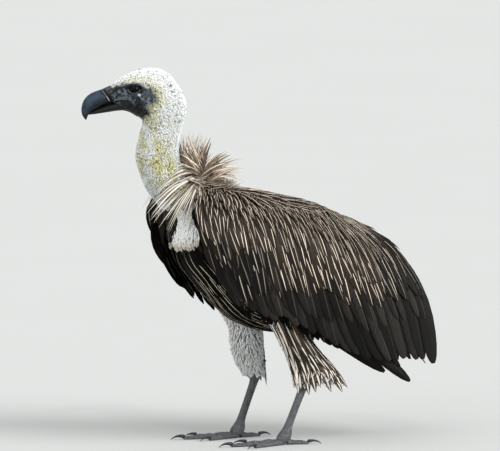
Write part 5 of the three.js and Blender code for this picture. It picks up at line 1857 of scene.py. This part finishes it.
@dataclass
class Wing:
    """A folded wing: rows of coverts over secondaries, primaries and dark tertials."""

    side: str
    rows: tuple[tuple[float, float, float, float], ...] = (
        # share of the coverts' depth at the root, gap, length and half width in mm
        (0.0, 5.0, 34, 3.3), (0.05, 5.2, 36, 3.6), (0.105, 5.5, 38, 4.0), (0.16, 6.0, 42, 4.5),
        (0.22, 6.8, 46, 5.2), (0.285, 7.8, 52, 6.0), (0.355, 9.2, 58, 7.2),
        (0.425, 10.8, 66, 8.6), (0.5, 12.4, 72, 9.8), (0.575, 14.2, 78, 11.2),
        (0.645, 16.0, 84, 12.4))
    secondary_count: int = 24
    primary_count: int = 9
    roll: float = 0.13  # of the long feathers about their shafts, in radians

    def __post_init__(self) -> None:
        """Sets up the wing's own numbers."""
        self.sign = SIGN[self.side]
        self.surface = WINGS[self.side]
        self.under = WingSurface(self.sign, True)
        self.source = np.random.default_rng(SEEDS[f"wing_{self.side}"])

    def build(self) -> list[bpy.types.Object]:
        """Makes the arm, coverts, secondaries, primaries and under coverts."""
        return [self.arm(), self.coverts(), self.secondaries(), self.primaries(),
                self.lining()]

    def edge(self, along: Array) -> Array:
        """How far down the coverts reach: deepest in front, least at the rump."""
        return (0.66 + COVERTS_FRONT[self.side] * step(0.5, 0.0, along)
                - 0.04 * step(0.75, 0.95, along))

    def rim(self, along: Array) -> Array:
        """How far down the long feathers reach: tucked up over the thigh, or at the far wrist."""
        full, tuck, middle, width = WING_RIM[self.side]
        return full - tuck * bell(along - middle, width)

    def arm(self) -> bpy.types.Object:
        """Flesh and small feathers of arm and hand: a plate thinning to its rim.

        Half thickness is 1.6 mm outside and 2.6 to 5.6 mm inside, times |sin(turn)|^0.6 round
        the plate, and falls to a quarter of that at the plate's two ends.
        """
        along = np.linspace(0.04, 0.97, 60)[:, None]
        turn = all_round(60)[None]
        share = (1 - np.cos(turn)) / 2
        down = 0.015 + share * (self.edge(along) * 0.9 - 0.015)
        thick = signed_power(np.sin(turn), 0.6)
        deep = np.where(thick > 0, 1.6, 2.6 + 3.0 * step(0.6, 0.3, down))
        ends = step(0.0, 0.08, (along - 0.04) / 0.93) * step(1.0, 0.92, (along - 0.04) / 0.93)
        rings = self.surface.point(down, along + 0 * down, thick * deep * (0.25 + 0.75 * ends))
        return closed_tube(f"wing_arm_{self.side}", rings, {
            "bare": 0, "raised": 0, "woolly": 0, "stain": 0, "leg": 0}).build(
                SkinFinish(), "covert_feathers", 180.0, (f"wing_{self.side}_coverts",))

    def length_at(self, along: Array, low: float, high: float) -> Array:
        """Distance in mm down the wing between two shares."""
        steps = np.linspace(low, high, 24)
        line = self.surface.base(np.tile(steps, len(along)), np.repeat(along, 24))
        return np.linalg.norm(np.diff(line.reshape(-1, 24, 3), axis=1), axis=2).sum(1) / MM

    def row(self, down: float, gap: float, low: float = 0.004, high: float = 0.99) -> Array:
        """Evenly spaced shares along the wing at a share down it, with a little unevenness."""
        steps = np.linspace(low, high, 200)
        line = self.surface.base(np.full(200, down), steps)
        walked = running(np.linalg.norm(np.diff(line, axis=0), axis=1)) / MM
        places = np.arange(gap * self.source.uniform(0.2, 0.9), walked[-1], gap)
        return np.interp(places + gap * self.source.uniform(-0.3, 0.3, len(places)),
                         walked, steps)

    def coverts(self) -> bpy.types.Object:
        """Coverts in rows, each row over the next, small in front and at the top."""
        piece = Piece(f"wing_{self.side}_covert_vanes")
        last = len(self.rows) - 1
        for number, (share, gap, length, half) in enumerate(self.rows):
            along = self.row(min(share, 0.99) * 0.8, gap)
            size = 0.62 + 0.38 * step(0.0, 0.4, along)
            down = np.clip(share * self.edge(along) + self.source.uniform(
                -0.018, 0.018, len(along)), 0.003, 1)
            long = length * size
            if number == last:
                long = self.length_at(along, 0, 1) * (self.edge(along) - down) * 1.02
            # painted shade: the front-lower and rear-lower corners darker and with fewer streaks
            dark = np.maximum(step(0.34, 0.5, share) * step(0.52, 0.25, along),
                              step(0.965, 1.02, along + 0.29 * (down + 0.14)))
            count, front = len(along), step(0.12, 0.0, along)
            laying = Laying(LANCE if number < 6 else COMBED, long,
                            half * (0.7 + 0.3 * size) * (1 - 0.3 * front),
                            2.4, 6.4 - 2.0 * share - 3.4 * front, uneven=0.15, sway=0.07,
                            roll=-self.sign * 0.1, cup=0.16, scatter=0.25 + 0.5 * share)
            # tone falls further down the wing as painted shade
            tone = self.source.normal(0.75, 0.2, count) - 0.5 * share - 0.6 * dark
            streak = self.source.normal(0.85, 0.25, count) - 0.85 * dark * (
                self.source.random(count) < 0.85)
            laying.onto(piece, self.surface, down, along, self.source, tone=np.clip(tone, 0, 1),
                        streak=np.clip(streak, 0.05, 1),
                        wide=self.source.uniform(0.28, 0.52, count) + 0.6 * share)
        return piece.build(Finishes.COVERT, "covert_feathers")

    def secondaries(self) -> bpy.types.Object:
        """Broad dark secondaries and tertials below the coverts."""
        piece = Piece(f"wing_{self.side}_secondary_vanes")
        count = self.secondary_count
        along = np.linspace(0.06, 0.968, count) + self.source.uniform(-0.006, 0.006, count)
        down = 0.5 * self.edge(along)
        far = self.length_at(along, 0, 1)
        tip = self.rim(along) + self.source.uniform(-0.02, 0.01, count)
        laying = Laying(FLIGHT, far * (tip - down), np.interp(along, [0, 0.3, 1], [12, 15, 20]),
                        1.2, 2.2, thick=0.7, uneven=0.02, sway=0.012,
                        roll=-self.sign * self.roll, cup=0.1, scatter=0.25)
        laying.onto(
            piece, self.surface, down, along, self.source, streak=(0.0, 0.3), wide=0.8,
            tone=self.source.uniform(0.1, 1.0, count) * (1 - 0.7 * step(0.8, 0.95, along)))
        # greater rows between them and the coverts
        along = np.linspace(0.1, 0.965, count) + self.source.uniform(-0.008, 0.008, count)
        down = 0.42 * self.edge(along)
        far = self.length_at(along, 0, 1)
        tip = np.minimum(self.edge(along) + 0.13, self.rim(along) - 0.02)
        laying = Laying(FLIGHT, far * (tip - down), 13.0, 1.8, 3.4, thick=0.6, uneven=0.05,
                        sway=0.02, roll=-self.sign * self.roll, cup=0.1, scatter=0.25)
        laying.onto(piece, self.surface, down, along, self.source, tone=(0.2, 0.9),
                    streak=(0.0, 0.5), wide=0.8)
        return piece.build(Finishes.FLIGHT, "flight_feathers",
                           replaces=(f"wing_{self.side}_secondaries",))

    def primaries(self) -> bpy.types.Object:
        """Dark primaries that come out behind the secondaries and slope back to the tail."""
        piece = Piece(f"wing_{self.side}_primary_vanes")
        share = np.linspace(0, 1, self.primary_count)
        down, along = 0.52 + 0.24 * share, 0.42 + 0.1 * share
        laying = Laying(FLIGHT, 205 + 26 * share, 11.0, -3.0, -2.6 - 2.4 * share, thick=0.7,
                        uneven=0.02, heading=0.62 - 0.1 * share, sway=0.012,
                        roll=-self.sign * 0.1, cup=0.1, scatter=0.2)
        laying.onto(piece, self.surface, down, along, self.source, tone=(0.0, 0.6),
                    streak=(0.0, 0.3), wide=0.7)
        return piece.build(Finishes.FLIGHT, "flight_feathers",
                           replaces=(f"wing_{self.side}_primaries",))

    def lining(self) -> bpy.types.Object:
        """Dark coverts of the inner face, seen at the held-out wrist."""
        piece = Piece(f"wing_{self.side}_lining")
        lie, across = spread(self.under, (0.02, 0.9), (0.02, 0.62), 11.8, self.source)
        laying = Laying(COMBED, 34.0, 6.2, 3.2, 4.0, uneven=0.08, sway=0.05)
        laying.onto(piece, self.under, lie, across, self.source,
                    tone=self.source.uniform(0, 0.7, len(lie)),
                    streak=self.source.uniform(-0.3, 0.35, len(lie)).clip(0), wide=0.6)
        return piece.build(Finishes.BODY, "covert_feathers")


@dataclass
class Tail:
    """Tail of twelve near-black feathers with coverts over their bases."""

    feathers: int = 12

    def build(self) -> bpy.types.Object:
        """Feathers side by side, the middle ones on top, under two rows of coverts."""
        piece, source = begin("tail_vanes")
        across = np.linspace(-0.86, 0.86, self.feathers)
        length = float(np.linalg.norm(TAIL_TIP - TAIL_BASE))
        top = 1.6 * (1 - np.abs(across)) + 0.25 * np.sign(across)
        laying = Laying(FLIGHT, length * 0.9, 12.5, top - 0.8, top - 0.4, thick=0.8, uneven=0.02,
                        sway=0.008, roll=0.12 * np.sign(across), cup=0.06, scatter=0.05)
        laying.onto(piece, TAIL, np.full(self.feathers, 0.01), across, source, tone=(0, 0.7),
                    streak=0.15, wide=0.7)
        for start, gap in ((0.0, 0.17), (0.13, 0.2)):
            across = np.arange(-0.8, 0.81, gap)
            for out in (1.0, -1.0):
                laying = Laying(CONTOUR, 75.0, 9.5, out, 3.4 * out, thick=0.6, sway=0.05)
                laying.onto(piece, TAIL, np.full(len(across), start), across, source,
                            tone=(0, 1), streak=(0, 0.5), wide=0.9)
        return piece.build(Finishes.FLIGHT, "tail_feathers", replaces=("tail",))


@dataclass
class Thigh:
    """Trousers of a leg: streaked feathers on the near side, pale down below and in front."""

    side: str

    def build(self) -> list[bpy.types.Object]:
        """Makes feathers and down."""
        return [self.feathers(), self.down()]

    def feathers(self) -> bpy.types.Object:
        """Long narrow feathers with broad pale middles, sweeping down and back."""
        piece, source = begin(f"thigh_{self.side}_feathers")
        surface = THIGHS[self.side]
        lie, across = spread(surface, (0.2, 3.7), (0, TAU), 14.5, source)
        outer, fore = np.sin(across) * SIGN[self.side], np.cos(across)
        keep = (outer > -0.3) & ((fore < 0.93) | (lie < 1.5)) if self.side == "left" else (
            (outer > 0.1) & (fore < 0.4))
        lie, across, fore = lie[keep], across[keep], step(0.55, 0.85, fore[keep])
        laying = Laying(LANCE, 80.0 - 26 * step(1.5, 3.2, lie), 8.5, -7.0, 0.4, thick=0.6,
                        sway=0.03)
        laying.onto(
            piece, surface, lie, across, source, tone=source.uniform(0, 1, len(lie)),
            streak=source.uniform(0.6, 1.0, len(lie)),
            wide=source.uniform(0.8, 1.6, len(lie)) + 0.9 * step(0.5, 2.5, lie) + 3.2 * fore)
        return piece.build(Finishes.THIGH, "thigh_feathers", 60.0)

    def down(self) -> bpy.types.Object:
        """Woolly down: down the front and round the bottom, all over the far leg's front."""
        piece, source = begin(f"thigh_{self.side}_down")
        surface = THIGHS[self.side]
        lie, across = spread(surface, (0.04, surface.lie_span[1]), (0, TAU), 3.6, source)
        outer = np.sin(across) * SIGN[self.side]
        keep = (np.cos(across) > (0.86 if self.side == "left" else 0.35)) | (lie > 3.9) | (
            outer < -0.2)
        lie, across = lie[keep], across[keep]
        low = step(surface.lie_span[1] - 0.9, surface.lie_span[1], lie)
        laying = Laying(TUFT, 11.0 - 3.0 * low, 1.5, -6.5 + 2.5 * low, -1.0, thick=0.9,
                        uneven=0.3, sway=0.3, scatter=0.6)
        laying.onto(piece, surface, lie, across, source, tone=(0.7, 1.0), stain=(0, 0.25))
        return piece.build(Finishes.SHANK, "leg_down", 180.0)


# ------------------------------------------------------------------ studio

@dataclass
class Studio:
    """Pale floor, soft light and a long lens far off."""

    azimuth: float = 70.0
    elevation: float = 6.0
    distance: float = 22.0
    field: float = 0.775  # metres across the picture at the bird
    off: float = -0.0465
    high: float = 0.3325
    floor_radius: float = 40.0
    # each light's way, as right, back and up, the angle it fills in radians, and its power
    suns: tuple[tuple[str, tuple[float, float, float], float, float], ...] = (
        ("key", (0.95, 0.6, 0.65), 0.6, 3.0), ("front", (-0.8, 0.9, 0.8), 1.2, 1.0),
        ("glint", (0.1, 0.8, 0.8), 0.06, 0.25))

    def axes(self) -> tuple[Array, Array, Array]:
        """The camera's right, up and backward directions."""
        turn, rise = math.radians(self.azimuth), math.radians(self.elevation)
        right = np.array([math.cos(turn), math.sin(turn), 0.0])
        back = np.array([math.sin(turn) * math.cos(rise), -math.cos(turn) * math.cos(rise),
                         math.sin(rise)])
        return right, np.cross(back, right), back

    def build(self) -> None:
        """Makes floor, lights, sky and camera."""
        right, up, back = self.axes()
        middle = ORIGIN + right * self.off + up * self.high
        self.camera(middle, right, up, back)
        self.floor()
        for name, (aside, behind, over), angle, power in self.suns:
            self.sun(name, right * aside + back * behind + np.array([0, 0, over]), angle, power)
        world = bpy.data.worlds.new("studio_sky")
        tree = empty_tree(world)
        sky = node(tree, "Background", inputs={"Color": "#e6e8e7", "Strength": 1.0})
        node(tree, "OutputWorld", inputs={0: sky})
        scene = bpy.context.scene
        scene.world = world
        scene.view_settings.view_transform = "Standard"

    def camera(self, middle: Array, right: Array, up: Array, back: Array) -> None:
        """A long lens that looks at middle from afar."""
        data = bpy.data.cameras.new("camera")
        data.sensor_width = 36.0
        data.lens = data.sensor_width * self.distance / self.field
        data.clip_end = 100.0
        camera = bpy.data.objects.new("camera", data)
        turn = Matrix([list(axis) for axis in (right, up, back)]).transposed()
        camera.matrix_world = Matrix.Translation(Vector(middle + back * self.distance)) @ (
            turn.to_4x4())
        bpy.context.scene.collection.objects.link(camera)
        bpy.context.scene.camera = camera

    def sun(self, name: str, way: Array, spread_over: float, power: float) -> None:
        """A wide soft light from far off in a direction."""
        data = bpy.data.lights.new(name, "SUN")
        data.angle, data.energy = spread_over, power
        lamp = bpy.data.objects.new(name, data)
        lamp.matrix_world = Vector(way).to_track_quat("Z", "Y").to_matrix().to_4x4()
        bpy.context.scene.collection.objects.link(lamp)

    def floor(self) -> None:
        """A pale round floor: rings of growing radius, closed at the middle."""
        turn = all_round(96)
        rim = np.stack([np.cos(turn), np.sin(turn), 0 * turn], 1) * self.floor_radius
        mesh = bpy.data.meshes.new("floor")
        mesh.from_pydata(rim.tolist(), [], [list(range(len(rim)))])
        mesh.materials.append(FloorFinish().material())
        floor = bpy.data.objects.new("floor", mesh)
        bpy.context.scene.collection.objects.link(floor)
        floor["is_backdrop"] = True


def main() -> None:
    """Builds the bird in order: flesh, head, coats, wings, tail, legs, then the studio."""
    logging.basicConfig(level=logging.INFO, format="%(name)s %(message)s")
    Skin().build()
    Eyes().build()
    Bill().build()
    WoollyDown().build()
    Ruff().build()
    BodyCoat().build()
    for side in SIGN:
        Wing(side).build()
        Thigh(side).build()
        leg = Leg(side)
        leg.scales()
        leg.claws()
    Tail().build()
    Studio().build()
    boxes = [[[float(number) for number in corner] for corner in box]
             for box in (CAD_BOX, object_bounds())]


if __name__ == "__main__":
    main()
